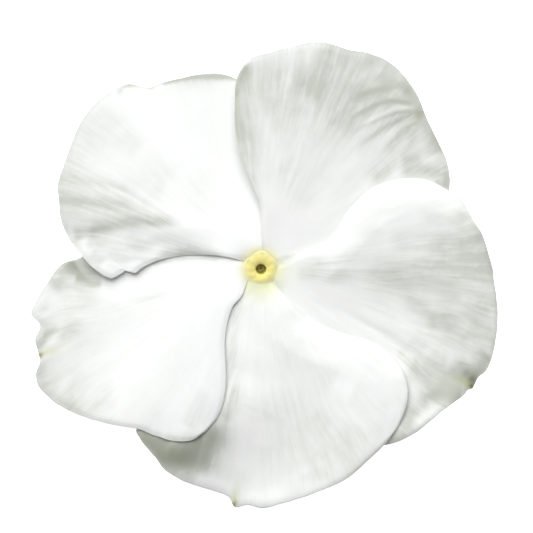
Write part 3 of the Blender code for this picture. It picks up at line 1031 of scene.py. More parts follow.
TOP = Petal(
    "petal_top",
    edge=((0.1, 1.7), (0.0, 4.3), (-0.1, 6.3), (-0.7, 8.0), (-1.8, 10.6), (-2.5, 13.3),
          (-2.6, 16.8), (-2.4, 19.0), (-1.8, 20.2)),
    rim=((-0.9, 21.0), (1.1, 21.6), (3.9, 22.4), (5.9, 22.6), (7.4, 22.3), (8.9, 21.8),
         (11.2, 21.4), (13.1, 20.4), (14.6, 18.9), (15.8, 17.0), (16.3, 15.7), (17.6, 12.9),
         (18.6, 10.8), (18.9, 8.8), (18.8, 7.2)),
    hidden_radius=18.9,
    lift=0.85,
    sink=0.80,
    roll=(-0.05, 1.6, 24.0),
    waves=(3.0, 0.10, 1.9),
    tip=(16.2, 15.6),
    tint=0.5,
    outer_shade=0.225,
    folds=(
        Fold((3.0, 5.5), (17.5, 15.5), 2.2, -0.10),
    ),
    creases=(
        Stroke(((4.3, 16.6), (5.3, 19.3), (6.7, 21.8)), 0.8, -0.08, 1, (0.3, 0.1)),
    ),
    # Shade and shadow painted into the colour, and painted light where the amount is below 0.
    painted_shades=(
        Stroke(((6.9, 21.2), (13.1, 18.8), (16.6, 15.6), (18.2, 11.3)), 3.8, 0.53, 1, (0.2, 0.05)),
        Stroke(((-1.9, 18.4), (2.9, 19.0), (7.9, 19.8)), 3.4, 0.26, 1, (0.1, 0.2)),
        Stroke(((0.1, 15.2), (4.9, 16.4), (10.9, 14.0)), 3.6, 0.24, 1, (0.1, 0.2)),
        Stroke(((-2.4, 19.4), (-2.0, 14.3), (-1.1, 9.6), (-0.3, 6.3)), 1.2, 0.6, 1, (0, 0.7)),
        Stroke(((7.4, 15.2), (10.9, 15.6), (15.3, 15.6)), 2.4, 0.2, 1, (0.4, 0.3)),
        Stroke(((10.1, 8.4), (12.4, 10.2), (14.4, 11.8)), 1.1, 0.22),
        Stroke(((7.1, 15.4), (9.3, 13.4)), 1.1, 0.26, 1, (0.2, 0.3)),
        Stroke(((13.5, 9.6), (16.1, 9.7), (18.7, 9.1)), 0.9, 0.58, 1, (0.3, 0)),
        Stroke(((13.7, 10.8), (16.3, 11.4)), 0.9, 0.28),
        Stroke(((1.7, 10.8), (3.5, 8.0), (5.1, 5.4)), 1.6, 0.22, 1, (0.2, 0.3)),
        Stroke(((-1.7, 15.8), (-0.7, 11.3), (0.2, 7.3)), 1.4, 0.14),
        Stroke(((8.4, 16.4), (10.9, 17.6), (13.7, 18.0)), 0.4, 0.4, 1, (0.4, 0.3)),
        Stroke(((7.4, 13.6), (10.1, 15.6), (12.9, 16.7), (15.5, 16.3)), 0.3, 0.44, 1, (0.4, 0.1)),
        Stroke(((8.4, 13.0), (11.1, 14.6), (13.5, 15.5), (15.5, 15.8)), 0.22, 0.4, 1, (0.4, 0.1)),
        Stroke(((9.1, 13.6), (11.7, 15.2), (13.9, 16.1), (15.7, 16.1)), 0.24, -0.3, 1, (0.4, 0.1)),
        Stroke(((9.1, 11.6), (12.3, 14.0), (15.7, 15.6)), 0.3, 0.44, 1, (0.4, 0)),
        Stroke(((11.1, 11.8), (13.7, 14.1), (15.9, 15.4)), 0.22, -0.3, 1, (0.4, 0.1)),
        Stroke(((11.9, 11.0), (14.1, 13.5), (15.9, 15.3)), 0.3, 0.42, 1, (0.4, 0)),
        Stroke(((14.1, 11.4), (15.3, 13.4), (16.1, 15.1)), 0.26, 0.14, 1, (0.4, 0)),
        Stroke(((4.3, 16.4), (6.1, 19.0), (7.7, 22.0)), 1.4, 0.32, 1, (0.2, 0)),
        Stroke(((16.3, 15.0), (17.5, 12.8), (18.5, 9.6), (18.8, 7.6)), 0.7, 0.15, 1, (0.1, 0)),
        Stroke(((16.9, 11.0), (18.6, 9.6)), 0.7, 0.08, 1, (0.3, 0)),
        Stroke(((6.1, 8.8), (8.4, 10.3), (10.3, 12.0)), 0.8, -0.18),
        Stroke(((6.3, 19.6), (7.1, 20.8), (7.5, 22.0)), 0.8, 0.22, 1, (0.3, 0)),
        Stroke(((11.3, 18.6), (13.4, 18.4), (15.3, 17.6)), 0.6, 0.24, 1, (0.3, 0.1)),
        Stroke(((8.3, 18.0), (10.1, 19.3), (12.5, 20.5)), 0.6, -0.2, 1, (0.3, 0.2)),
        Stroke(((-2.5, 16.6), (-2.4, 18.6), (-1.5, 19.8)), 0.6, 0.35, 1, (0.3, 0)),
        Stroke(((15.3, 14.8), (16.0, 13.4), (15.2, 10.8)), 0.7, -0.2, 1, (0.2, 0.2)),
        Stroke(((14.1, 18.2), (15.3, 17.1), (16.0, 15.8)), 0.8, 0.26, 1, (0.2, 0.1)),
        Stroke(((17.3, 8.5), (18.8, 8.1)), 0.5, 0.4, 1, (0.2, 0)),
        Stroke(((17.2, 14.2), (18.0, 12.8), (18.7, 11.2)), 0.6, 0.34, 1, (0.2, 0.2)),
        Stroke(((10.9, 8.8), (13.3, 10.0)), 0.8, 0.22),
        Stroke(((-1.2, 10.0), (-0.2, 6.8), (0.1, 4.4)), 0.4, 0.34, 1, (0.2, 0.4)),
        Stroke(((-2.6, 18.4), (-2.5, 14.8), (-2.0, 11.0), (-1.0, 8.0)), 0.24, 0.4, 1, (0.1, 0.3)),
        Stroke(((4.2, 16.0), (5.0, 18.2), (6.1, 20.4)), 0.5, 0.12, 1, (0.3, 0.2)),
    ),
)

UPPER_LEFT = Petal(
    "petal_upper_left",
    edge=((-1.5, 0.6), (-3.1, 1.05), (-6.1, 1.35), (-8.6, 1.15), (-10.6, 0.65), (-11.9, 0.0),
          (-12.6, -0.5), (-13.4, -0.25), (-14.2, -0.7), (-14.9, -1.05)),
    rim=((-15.4, -0.9), (-16.1, -0.5), (-17.3, 0.5), (-18.1, 1.5), (-19.1, 2.8),
         (-20.0, 4.9), (-20.2, 6.8), (-20.3, 8.4), (-19.8, 10.0), (-19.1, 12.1),
         (-18.4, 13.9), (-17.0, 16.0), (-15.3, 17.5), (-13.4, 18.4), (-11.1, 18.1),
         (-10.3, 18.4), (-8.6, 18.9), (-6.1, 19.4), (-4.1, 19.5), (-2.5, 19.0), (-0.8, 18.6)),
    hidden_radius=18.0,
    lift=1.00,
    sink=0.80,
    roll=(0.55, 3.0, 19.0),
    waves=(3.5, 0.12, 2.6),
    tip=(-13.3, 18.3),
    tint=0.15,
    outer_shade=0.04,
    folds=(
        Fold((-6.5, 2.6), (-21.5, 3.2), 1.6, -0.36),
    ),
    creases=(
        Stroke(((-11.1, 7.1), (-15.1, 8.1), (-17.6, 8.6), (-20.1, 8.9)), 0.5, -0.06, 1.4, (0.4, 0)),
        Stroke(((-11.1, 5.5), (-14.6, 6.0), (-17.6, 6.3), (-20.3, 6.5)), 0.5, -0.07, 1.4, (0.4, 0)),
        Stroke(((-10.5, 0.3), (-12.3, -0.6), (-14.9, -1.3), (-17.3, 0.2)),
               0.9, 0.1, 1, (0.25, 0.1)),
    ),
    # Shade and shadow painted into the colour, and painted light where the amount is below 0.
    painted_shades=(
        Stroke(((-7.7, 4.4), (-11.1, 4.6), (-13.6, 4.5), (-16.1, 3.9),
               (-18.9, 3.1)), 0.5, 0.68, 1.7, (0.2, 0.05)),
        Stroke(((-10.5, 5.5), (-14.6, 6.0), (-17.6, 6.3), (-20.3, 6.5)), 0.6, 0.34, 1.2, (0.5, 0)),
        Stroke(((-11.1, 7.1), (-15.1, 8.1), (-17.6, 8.6), (-20.1, 9.0)), 0.5, 0.24, 1.2, (0.6, 0)),
        Stroke(((-8.6, 5.8), (-14.1, 6.4), (-20.1, 7.0)), 2.7, 0.5, 1, (0.5, 0)),
        Stroke(((-5.6, 1.9), (-7.6, 2.5), (-10.1, 2.8), (-12.1, 2.8)), 0.6, 0.36, 1, (0.4, 0.3)),
        Stroke(((-3.1, 1.0), (-6.1, 1.6), (-9.1, 1.4), (-11.3, 0.8)), 0.5, 0.62, 1, (0.2, 0.2)),
        Stroke(((-4.3, 1.9), (-7.9, 2.0), (-10.3, 1.6)), 0.7, 0.26, 1, (0.3, 0.2)),
        Stroke(((-7.1, 10.2), (-5.6, 6.8), (-6.7, 4.6)), 1.8, 0.13),
        Stroke(((-10.5, 2.1), (-14.3, 1.8), (-17.7, 2.8)), 1.3, 0.54, 1, (0.3, 0.1)),
        Stroke(((-17.1, 1.6), (-15.7, 0.4)), 0.7, 0.35, 1, (0.2, 0.2)),
        Stroke(((-12.9, 16.3), (-16.1, 14.0), (-18.3, 11.8), (-19.9, 9.0)), 2.4, 0.32, 1, (0.3, 0)),
        Stroke(((-10.3, 18.5), (-8.3, 18.9), (-5.6, 19.2), (-2.5, 19.1)), 0.36, 1.1, 1, (0.1, 0)),
        Stroke(((-14.7, 17.0), (-13.7, 18.1), (-12.1, 18.3), (-10.5, 18.0)),
               0.26, 0.5, 1, (0.2, 0.1)),
        Stroke(((-16.1, 0.4), (-13.7, 0.0), (-11.5, 0.6)), 0.5, -0.35, 1, (0.2, 0.2)),
        Stroke(((-8.5, 18.4), (-6.1, 18.6), (-3.9, 18.6)), 0.6, 0.14),
        Stroke(((-9.1, 11.3), (-11.1, 8.6), (-12.1, 7.3)), 1.6, 0.16),
        Stroke(((-12.9, 2.8), (-10.3, 1.8)), 0.7, 0.18),
        Stroke(((-14.3, 13.6), (-11.9, 11.6)), 0.9, 0.22),
        Stroke(((-18.7, 3.2), (-17.7, 1.8)), 0.6, 0.25, 1, (0.2, 0.2)),
        Stroke(((-5.6, 5.6), (-8.9, 6.8), (-12.3, 8.0)), 3.4, 0.08),
    ),
)

LOWER_LEFT = Petal(
    "petal_lower_left",
    edge=((-1.3, -1.2), (-1.8, -2.5), (-2.8, -3.8), (-3.3, -5.2), (-3.6, -7.2),
          (-3.5, -10.2), (-3.6, -12.7), (-4.1, -14.5), (-5.5, -16.3)),
    rim=((-7.1, -17.25), (-8.7, -17.25), (-10.6, -16.8), (-12.3, -16.1), (-13.6, -15.9),
         (-15.6, -15.5), (-17.3, -15.0), (-19.1, -14.3), (-20.9, -13.2), (-22.4, -11.4),
         (-22.5, -10.6), (-22.1, -9.2), (-22.3, -8.5), (-22.6, -7.2), (-22.1, -5.8),
         (-23.0, -4.5), (-22.5, -3.3), (-21.3, -1.4), (-19.9, 0.4), (-17.8, 1.2)),
    hidden_radius=16.6,
    lift=1.00,
    sink=0.06,
    roll=(0.30, 2.4, 24.0),
    waves=(3.5, 0.12, 0.9),
    tip=(-22.1, -8.7),
    folds=(
        Fold((-14.5, 0.2), (-21.5, 0.6), 1.8, -0.10),
    ),
    creases=(
        Stroke(((-19.5, -5.8), (-20.9, -6.6), (-22.2, -8.2)), 0.5, -0.1, 1, (0.3, 0)),
        Stroke(((-13.5, -3.6), (-11.1, -3.1), (-8.9, -2.3)), 0.25, -0.02),
        Stroke(((-12.3, -16.2), (-8.1, -17.6), (-5.1, -16.2),
               (-3.3, -13.0)), 2.2, -0.18, 1, (0.2, 0.3)),
    ),
    # Shade and shadow painted into the colour, and painted light where the amount is below 0.
    painted_shades=(
        # Painted shadow of the upper left petal over this corner.
        Stroke(((-21.5, -2.2), (-19.9, -0.8), (-18.3, 0.4)), 1.2, 0.56, 1, (0.3, 0.1)),
        Stroke(((-19.3, 1.2), (-17.9, -0.1), (-16.6, -1.1), (-15.3, -1.7)),
               0.9, 0.9, 1.5, (0, 0.5)),
        Stroke(((-22.1, -3.0), (-21.6, -5.0), (-22.1, -7.2)), 0.8, 0.26, 1, (0.2, 0.2)),
        Stroke(((-21.3, -10.2), (-20.3, -12.0), (-18.3, -13.6),
               (-15.7, -14.4)), 1.1, 0.22, 1, (0.2, 0.2)),
        # Painted shadow under the upper left petal's edge.
        Stroke(((-3.6, 0.8), (-6.1, 1.0), (-9.1, 0.8), (-11.3, 0.2)), 0.26, 0.55, 1, (0.2, 0.1)),
        Stroke(((-17.3, -1.6), (-18.9, -5.0), (-21.3, -7.7), (-21.7, -12.2)),
               3.2, 0.36, 1, (0.1, 0.2)),
        Stroke(((-20.1, -11.7), (-17.3, -12.8), (-13.9, -13.4)), 2.2, 0.3, 1, (0.2, 0.3)),
        Stroke(((-20.1, -5.8), (-21.3, -6.5), (-22.3, -7.7)), 0.5, 0.4, 1, (0.4, 0)),
        Stroke(((-17.7, -4.6), (-19.5, -6.4), (-20.9, -7.4)), 0.8, 0.28),
        Stroke(((-22.3, -9.0), (-22.1, -11.2), (-20.1, -13.4),
               (-17.1, -14.8)), 0.8, 0.38, 1, (0.1, 0.2)),
        Stroke(((-13.5, -3.6), (-11.1, -3.1), (-8.9, -2.3)), 0.22, 0.16),
        Stroke(((-5.5, -11.7), (-6.4, -13.7), (-7.5, -16.0)), 0.7, 0.26, 1, (0.3, 0.1)),
        Stroke(((-9.9, -16.8), (-7.7, -17.0), (-5.9, -16.3)), 0.6, 0.4),
        Stroke(((-18.7, -1.1), (-17.1, -1.5), (-15.7, -1.6)), 0.5, 0.5, 1, (0.1, 0.2)),
    ),
)

BOTTOM = Petal(
    "petal_bottom",
    edge=((1.1, -1.3), (2.4, -2.8), (4.4, -4.6), (6.4, -5.8), (8.4, -6.6), (10.4, -7.1),
          (12.1, -7.9), (13.5, -9.2), (14.4, -10.8), (14.7, -12.4), (14.4, -14.2),
          (13.5, -16.2)),
    rim=((12.3, -17.7), (10.4, -19.5), (8.4, -21.2), (6.4, -22.1), (4.4, -22.9),
         (1.9, -23.65), (0.1, -24.05), (-1.3, -23.8), (-2.7, -23.9), (-3.2, -23.0),
         (-4.6, -22.4), (-6.6, -21.8), (-8.1, -21.2), (-9.6, -20.2), (-10.6, -18.9),
         (-11.8, -17.5), (-12.5, -16.2)),
    hidden_radius=19.3,
    lift=1.14,
    sink=-0.10,
    roll=(1.00, 4.4, 20.0),
    waves=(2.0, 0.20, 4.9),
    tip=(-2.7, -23.7),
    eye_green_and_shade=1.0,
    outer_shade=0.20,
    folds=(
        Fold((-5.0, -18.0), (-12.5, -17.6), 2.6, -0.15),
        Fold((-1.0, -10.0), (-4.9, -54.0), 9.0, -1.5),
    ),
    creases=(
        Stroke(((1.3, -2.4), (3.1, -5.2), (5.7, -8.4), (8.1, -11.7)), 1.4, 0.14, 1.4, (0.25, 0.4)),
        Stroke(((6.3, -17.5), (7.3, -18.7), (8.3, -20.0)), 0.4, -0.06, 1, (0.2, 0.1)),
        Stroke(((-2.3, -23.6), (0.1, -23.9), (3.1, -23.2)), 1.4, 0.2),
        Stroke(((-2.3, -9.8), (-3.5, -13.7), (-5.8, -16.8), (-8.1, -17.5),
               (-11.9, -16.3)), 4.2, 0.88, 0.7, (0.35, 0)),
        Stroke(((14.3, -10.2), (15.0, -13.2), (13.5, -17.0)), 1.5, -0.26, 1, (0.3, 0)),
        Stroke(((-6.1, -17.0), (-7.9, -17.6), (-9.7, -17.3)), 1.6, 0.24),
    ),
    # Shade and shadow painted into the colour, and painted light where the amount is below 0.
    painted_shades=(
        Stroke(((0.4, -12.2), (2.9, -16.2), (4.9, -20.2)), 3.8, 0.16, 1, (0.3, 0.1)),
        Stroke(((8.9, -14.7), (8.7, -18.2), (5.7, -21.4)), 2.4, 0.3, 1, (0.3, 0.1)),
        # Painted shadow of the lower left petal over this lobe.
        Stroke(((-3.6, -14.2), (-5.1, -17.0), (-8.3, -18.2), (-11.7, -17.2)),
               1.8, 1.3, 1, (0.3, 0)),
        Stroke(((-3.5, -18.8), (-6.1, -19.6), (-10.1, -19.4)), 1.1, 0.62, 1, (0.4, 0)),
        # Painted light along the rim left of the tip.
        Stroke(((-7.1, -21.4), (-4.6, -22.1), (-2.9, -22.9)), 0.9, -0.6, 1, (0.2, 0.2)),
        Stroke(((-2.5, -11.2), (-3.0, -13.6), (-3.8, -15.6)), 0.8, 0.52, 1, (0.3, 0.2)),
        Stroke(((-1.4, -13.7), (-2.1, -17.2), (-1.5, -21.2)), 1.5, -0.3),
        Stroke(((0.1, -24.0), (3.9, -23.0), (8.9, -20.2)), 0.5, -0.12, 1, (0.2, 0.2)),
        Stroke(((0.0, -1.2), (0.0, -2.4), (-0.1, -3.8)), 0.8, 0.12, 1, (0, 0.3)),
        Stroke(((-1.7, -3.0), (0.3, -5.7), (2.7, -8.2), (5.1, -11.2)), 1.9, 0.28, 1, (0.1, 0.4)),
        Stroke(((-1.4, -1.6), (-2.3, -3.1), (-2.9, -6.7)), 0.7, 0.48, 1, (0.05, 0.5)),
        Stroke(((0.3, -14.8), (0.0, -18.4)), 1.1, -0.2),
        Stroke(((-2.6, -4.0), (-2.8, -6.7), (-2.9, -13.2)), 0.7, 0.3),
        Stroke(((3.5, -6.7), (6.1, -8.3)), 0.6, 0.16),
        Stroke(((4.7, -14.4), (7.1, -16.2)), 1, 0.2),
        Stroke(((3.4, -20.9), (6.4, -20.7)), 0.9, 0.16),
        Stroke(((6.9, -11.0), (9.7, -12.4)), 1.2, -0.22),
        Stroke(((13.7, -13.2), (12.7, -17.2)), 0.8, -0.3, 1, (0.3, 0)),
    ),
)

# Anticlockwise round the eye. Each petal's upper edge lies over the next one.
PETALS = (RIGHT, TOP, UPPER_LEFT, LOWER_LEFT, BOTTOM)


@dataclass(frozen=True)
class Layer:
    """One layer of the noise of drift() on a shape.

    Attributes:
        size: its height.
        across: bumps to a unit in the first direction.
        along: bumps to a unit in the second.
        seed: picks its pattern.
    """

    size: float
    across: float
    along: float
    seed: int = 0

    def felt(self, u: Any, v: Any, seed: int = 0) -> Array:
        """Give the layer's height at some places; a seed picks another pattern."""
        return self.size * drift(u * self.across, v * self.along, self.seed + seed)


@dataclass(frozen=True)
class Lay:
    """How all the petals rise from the eye and lie over each other.

    Attributes:
        lift_from, lift_reach: where the visible petals start to lift, as the solid ones do, and
            how far on they have made about two thirds of it.
        eye_radius, base_sink, base_reach: where the base's sink is given, how deep it is, and
            how far on it has fallen to about a third.
        dip, dip_from, dip_reach: depth of the dip beside each seam near the eye, the radius
            where it starts, and how far on it is deepest.
        dip_power, wave_power: how closely the dip keeps to its seam, and the waves to the rim.
        rim_drop, rim_from: how fast the outer parts bend back, and from which radius.
        roll_over, roll_power: how far past its width an upper edge rolls, and how suddenly.
        roll_from, roll_fade: radii between which it comes to roll, and how far before its end
            the roll fades.
        overlap, tuck: how far each petal reaches in under the one before, and the radii between
            which it comes to do so.
    """

    lift_from: float = 2.0
    lift_reach: float = 4.2
    eye_radius: float = 1.58
    base_sink: float = 0.19
    base_reach: float = 0.9
    dip: float = 0.07
    dip_from: float = 1.6
    dip_reach: float = 1.6
    dip_power: int = 3
    rim_drop: float = 0.0020
    rim_from: float = 11.0
    roll_over: float = 1.3
    roll_power: float = 1.5
    roll_from: Range = (3.0, 8.0)
    roll_fade: float = 5.0
    wave_power: int = 3
    overlap: float = 4.0
    tuck: Range = (2.1, 9.0)


@dataclass(frozen=True)
class Sheet:
    """A petal's outline, filled with rows and columns of places.

    Attributes:
        x: places to the right of the eye.
        y: places up from it.
        along: each place's share of the way from base to rim.
        across: its share of the way from the upper edge to the hidden one.
        reach: its distance from the rim.
        beside: its distance from the nearer of the two edges.
    """

    x: Array
    y: Array
    along: Array
    across: Array
    reach: Array
    beside: Array


@dataclass
class Corolla:
    """The five petals, each a thin waved blade.

    Attributes:
        base_radius: where the blades begin, under the ring of the eye.
        thick, rim_thick: thickness of the blades, and of their edges.
        taper: how far in from an edge they reach their full thickness.
        rows, rows_to, rim_rows: number of even rows from base to rim, the share of the way at
            the last of them, and the shares at the rows after it.
        steps: columns between two points of the rim.
        lay: how the petals lie.
        ripple, ripples, ripple_fade: size of the small ripples of the rim, their noise, and
            where they start to fade at either end of it.
        pleat, pleats, pleat_from: height of the fine pleats, their noise, and the radii between
            which they come up.
        pleat_shares: how much of them shows all over, and how much more in full shade.
        wander, lane_apart: how the lanes of the veins wander, and how far apart two petals'
            lanes are drawn from the noise.
        outer_shade_from: radii between which the shade painted on the outer part comes up.
        rim_shade, rim_shade_reach: the shade painted along the rim, and how far in it has faded.
        shade_most: the deepest painted shade.
        rim_reach: how far in the shade painted on the rim by the finish has faded.
        glow_from, glow_reach, haze_reach: radius from which the glow, and the green and painted
            shade
        round the eye, fade, and how far on each has.
        tip_width: half the width of the coloured tip, and how much it widens on its way in.
        tip_reach, tip_spot: how far in the tip's colour has faded, and its point's.
        finish: the blades' finish.
    """

    base_radius: float = 1.42
    thick: float = 0.24
    rim_thick: float = 0.07
    taper: float = 0.7
    rows: int = 104
    rows_to: float = 0.99
    rim_rows: tuple[float, ...] = (0.994, 0.997, 1.0)
    steps: int = 8
    lay: Lay = Lay()
    ripple: float = 0.05
    ripples: tuple[Layer, ...] = (Layer(1.0, 0.8, 0.5), Layer(0.6, 1.9, 2.5))
    ripple_fade: Range = (0.06, 0.94)
    pleat: float = 0.03
    pleats: tuple[Layer, ...] = (Layer(1.0, 20.0, 0.16, 20), Layer(0.3, 48.0, 0.3, 30))
    pleat_from: Range = (3.0, 9.0)
    pleat_shares: Pair = (0.2, 1.2)
    wander: Layer = Layer(0.02, 0.25, 4.0, 10)
    lane_apart: float = 7.3
    outer_shade_from: Range = (5.0, 13.0)
    rim_shade: float = 0.14
    rim_shade_reach: float = 0.8
    shade_most: float = 2.0
    rim_reach: float = 0.35
    glow_from: float = 1.6
    glow_reach: float = 0.55
    haze_reach: float = 1.5
    tip_width: Pair = (0.22, 0.10)
    tip_reach: float = 1.5
    tip_spot: float = 0.26
    finish: PetalFinish = PetalFinish()

    def build(self) -> list[bpy.types.Object]:
        """Build the five petals."""
        material = self.finish.material()
        return [
            finished(petal.name, self.blade(petal, index), material, (petal.name,))
            for index, petal in enumerate(PETALS)
        ]

    def height(self, petal: Petal, sheet: Sheet) -> Array:
        """Give the height of a petal's middle layer over the plane of the face.

        Args:
            petal: the petal.
            sheet: its places.

        Returns:
            The height at each place.
        """
        lay = self.lay
        radius, angle = np.hypot(sheet.x, sheet.y), np.arctan2(sheet.y, sheet.x)
        other = PETALS[PETALS.index(petal) - 1].edge_angle(radius)
        span = (petal.edge_angle(radius) - other) % FULL_TURN
        turned_by = (angle - other + math.pi / 2) % FULL_TURN - math.pi / 2
        share = turned_by / span
        reached = 1.0 - np.exp(-np.clip(radius - lay.lift_from, 0.0, None) / lay.lift_reach)
        height = reached * (petal.lift * share - petal.sink * (1.0 - share))
        height -= lay.base_sink * np.exp(-(radius - lay.eye_radius) / lay.base_reach)
        outward = np.clip(radius - lay.dip_from, 0.0, None) / lay.dip_reach
        by_seam = np.clip(1.0 - share, 0.0, 1.0) ** lay.dip_power
        height -= lay.dip * outward * np.exp(1.0 - outward) * by_seam
        height -= lay.rim_drop * np.clip(radius - lay.rim_from, 0.0, None) ** 2
        from_edge = (span - turned_by) * radius
        depth, width, end = petal.roll
        rolled = np.clip(1.0 - from_edge / width, 0.0, lay.roll_over) ** lay.roll_power
        rolled *= smooth(*lay.roll_from, radius) * (1.0 - smooth(end - lay.roll_fade, end, radius))
        height -= depth * rolled
        count, size, phase = petal.waves
        wave = np.sin(FULL_TURN * count * sheet.across + phase)
        height += size * sheet.along**lay.wave_power * wave
        for fold in (*petal.folds, *petal.creases):
            height += fold.felt(sheet.x, sheet.y)
        return height

    def outline(self, petal: Petal, seed: int) -> tuple[Callable, Callable, Array, Array]:
        """Give the petal's outline.

        Args:
            petal: the petal.
            seed: picks the small ripples of the rim.

        Returns:
            Its upper edge and its hidden edge, as functions of the share of the way out; the
            rim's points from the one to the other; and their shares of the rim's length.
        """
        radii, _ = polar(petal.edge)
        over = PETALS[PETALS.index(petal) - 1]

        def upper(share: Array) -> Array:
            """Give the upper edge."""
            radius = self.base_radius + (radii[-1] - self.base_radius) * share
            return at_angle(radius, petal.edge_angle(radius))

        def hidden(share: Array) -> Array:
            """Give the hidden edge."""
            radius = self.base_radius + (petal.hidden_radius - self.base_radius) * share
            under = self.lay.overlap * smooth(*self.lay.tuck, radius) / radius
            return at_angle(radius, over.edge_angle(radius) - under)

        rim = smooth_line(np.vstack([upper(1.0), petal.rim, hidden(1.0)]), self.steps)
        lengths = np.concatenate([[0.0], np.cumsum(np.hypot(*np.diff(rim, axis=0).T))])
        across = lengths / lengths[-1]
        wobble = sum(layer.felt(lengths, 1.0, seed) for layer in self.ripples)
        fade_in, fade_out = self.ripple_fade
        wobble *= self.ripple * smooth(0.0, fade_in, across) * (1.0 - smooth(fade_out, 1.0, across))
        rim *= (1.0 + wobble / np.hypot(rim[:, 0], rim[:, 1]))[:, None]
        return upper, hidden, rim, across

    def sheet(self, petal: Petal, seed: int) -> Sheet:
        """Fill the petal's outline with rows and columns of places.

        Args:
            petal: the petal.
            seed: picks the small ripples of the rim.

        Returns:
            The places.
        """
        upper, hidden, rim, across = self.outline(petal, seed)
        along = np.append(np.linspace(0.0, self.rows_to, self.rows), self.rim_rows)
        left, right = upper(along), hidden(along)
        start, end = (math.atan2(p[1], p[0]) for p in (left[0], right[0]))
        sweep = (end - start + math.pi) % FULL_TURN - math.pi
        base = at_angle(np.full(len(across), self.base_radius), start + sweep * across)
        s, t = across[None, :, None], along[:, None, None]
        flat = (
            (1 - s) * left[:, None] + s * right[:, None] + (1 - t) * base[None] + t * rim[None]
            - (1 - s) * (1 - t) * left[0] - s * (1 - t) * right[0]
            - (1 - s) * t * left[-1] - s * t * right[-1]
        )
        x, y = flat[..., 0], flat[..., 1]
        from_rim, from_left, from_right = (
            np.hypot(*(side - flat).transpose(2, 0, 1))
            for side in (rim[None], left[:, None], right[:, None])
        )
        return Sheet(x, y, t[..., 0] + 0 * x, s[..., 0] + 0 * x, from_rim,
                     np.minimum(from_left, from_right))

    def shade(self, petal: Petal, sheet: Sheet) -> Array:
        """Give the shade and shadow painted into a petal's colour, also standing for thinner
        tissue.

        Args:
            petal: the petal.
            sheet: its places.

        Returns:
            The shade at each place.
        """
        shade = petal.outer_shade * smooth(*self.outer_shade_from, np.hypot(sheet.x, sheet.y))
        # Shade painted along the rim.
        shade = shade + self.rim_shade * bell(sheet.reach, self.rim_shade_reach)
        return sum((stroke.felt(sheet.x, sheet.y) for stroke in petal.painted_shades), shade)

    def blade(self, petal: Petal, seed: int) -> Shell:
        """Build one petal's closed blade.

        Args:
            petal: the petal.
            seed: picks the patterns of its rim, veins and pleats.

        Returns:
            The blade, with the traits that its finish reads.
        """
        sheet = self.sheet(petal, seed)
        x, y = sheet.x, sheet.y
        radius, angle = np.hypot(x, y), np.arctan2(y, x) % FULL_TURN
        shade = self.shade(petal, sheet)
        lane = angle + self.wander.felt(radius, angle, seed)
        pleats = sum(layer.felt(lane, radius, seed) for layer in self.pleats)
        everywhere, shaded = self.pleat_shares
        z = self.height(petal, sheet)
        z += self.pleat * smooth(*self.pleat_from, radius) * (everywhere + shaded * shade) * pleats
        inset = np.minimum(sheet.reach, sheet.beside)
        thicker = (self.thick - self.rim_thick) * smooth(0.0, self.taper, inset)
        half = 0.5 * (self.rim_thick + thicker)[..., None] * np.array([0.0, 0.0, 1.0])
        middle = np.stack([x, y, z], axis=-1)
        points = np.vstack([(middle + half).reshape(-1, 3), (middle - half).reshape(-1, 3)])
        rows, columns = x.shape
        faces = [
            grid_faces(rows, columns),
            grid_faces(rows, columns, rows * columns)[:, ::-1],
            self.border(rows, columns),
        ]
        out = np.array(petal.tip) / math.hypot(*petal.tip)
        inward = (petal.tip[0] - x) * out[0] + (petal.tip[1] - y) * out[1]
        aside = (x - petal.tip[0]) * out[1] - (y - petal.tip[1]) * out[0]
        width, widening = self.tip_width
        narrow = (aside / (width + widening * np.abs(inward))) ** 2
        from_glow = np.clip(radius - self.glow_from, 0.0, None)
        traits = {
            "lane": lane + self.lane_apart * seed,
            "along": radius,
            # Shade and shadow painted into the colour, and painted light where strokes are below 0.
            "shade": np.clip(shade, 0.0, self.shade_most),
            # Shade painted along the rim, for the finish.
            "rim": bell(sheet.reach, self.rim_reach),
            "glow": bell(from_glow, self.glow_reach),
            # Green round the eye, with shade painted below and right of the ring.
            "eye_green_and_shade": petal.eye_green_and_shade * bell(from_glow, self.haze_reach),
            "tint": petal.tint * np.exp(-narrow - (inward / self.tip_reach) ** 2),
            "spot": petal.tint * bell(np.hypot(inward, aside), self.tip_spot),
        }
        doubled = {trait: np.tile(values.ravel(), 2) for trait, values in traits.items()}
        return Shell(above_floor(points), faces, doubled)

    @staticmethod
    def border(rows: int, columns: int) -> Array:
        """Give the faces that join a blade's front to its back all round.

        Args:
            rows: rows of points of the front, whose points come first.
            columns: points in a row.

        Returns:
            One row of four point numbers for each face.
        """
        ring = [j for j in range(columns)] + [i * columns + columns - 1 for i in range(1, rows)]
        ring += [(rows - 1) * columns + j for j in range(columns - 2, -1, -1)]
        ring += [i * columns for i in range(rows - 2, 0, -1)]
        a = np.array(ring)
        b = np.roll(a, -1)
        back = rows * columns
        return np.stack([b, a, a + back, b + back], axis=-1)


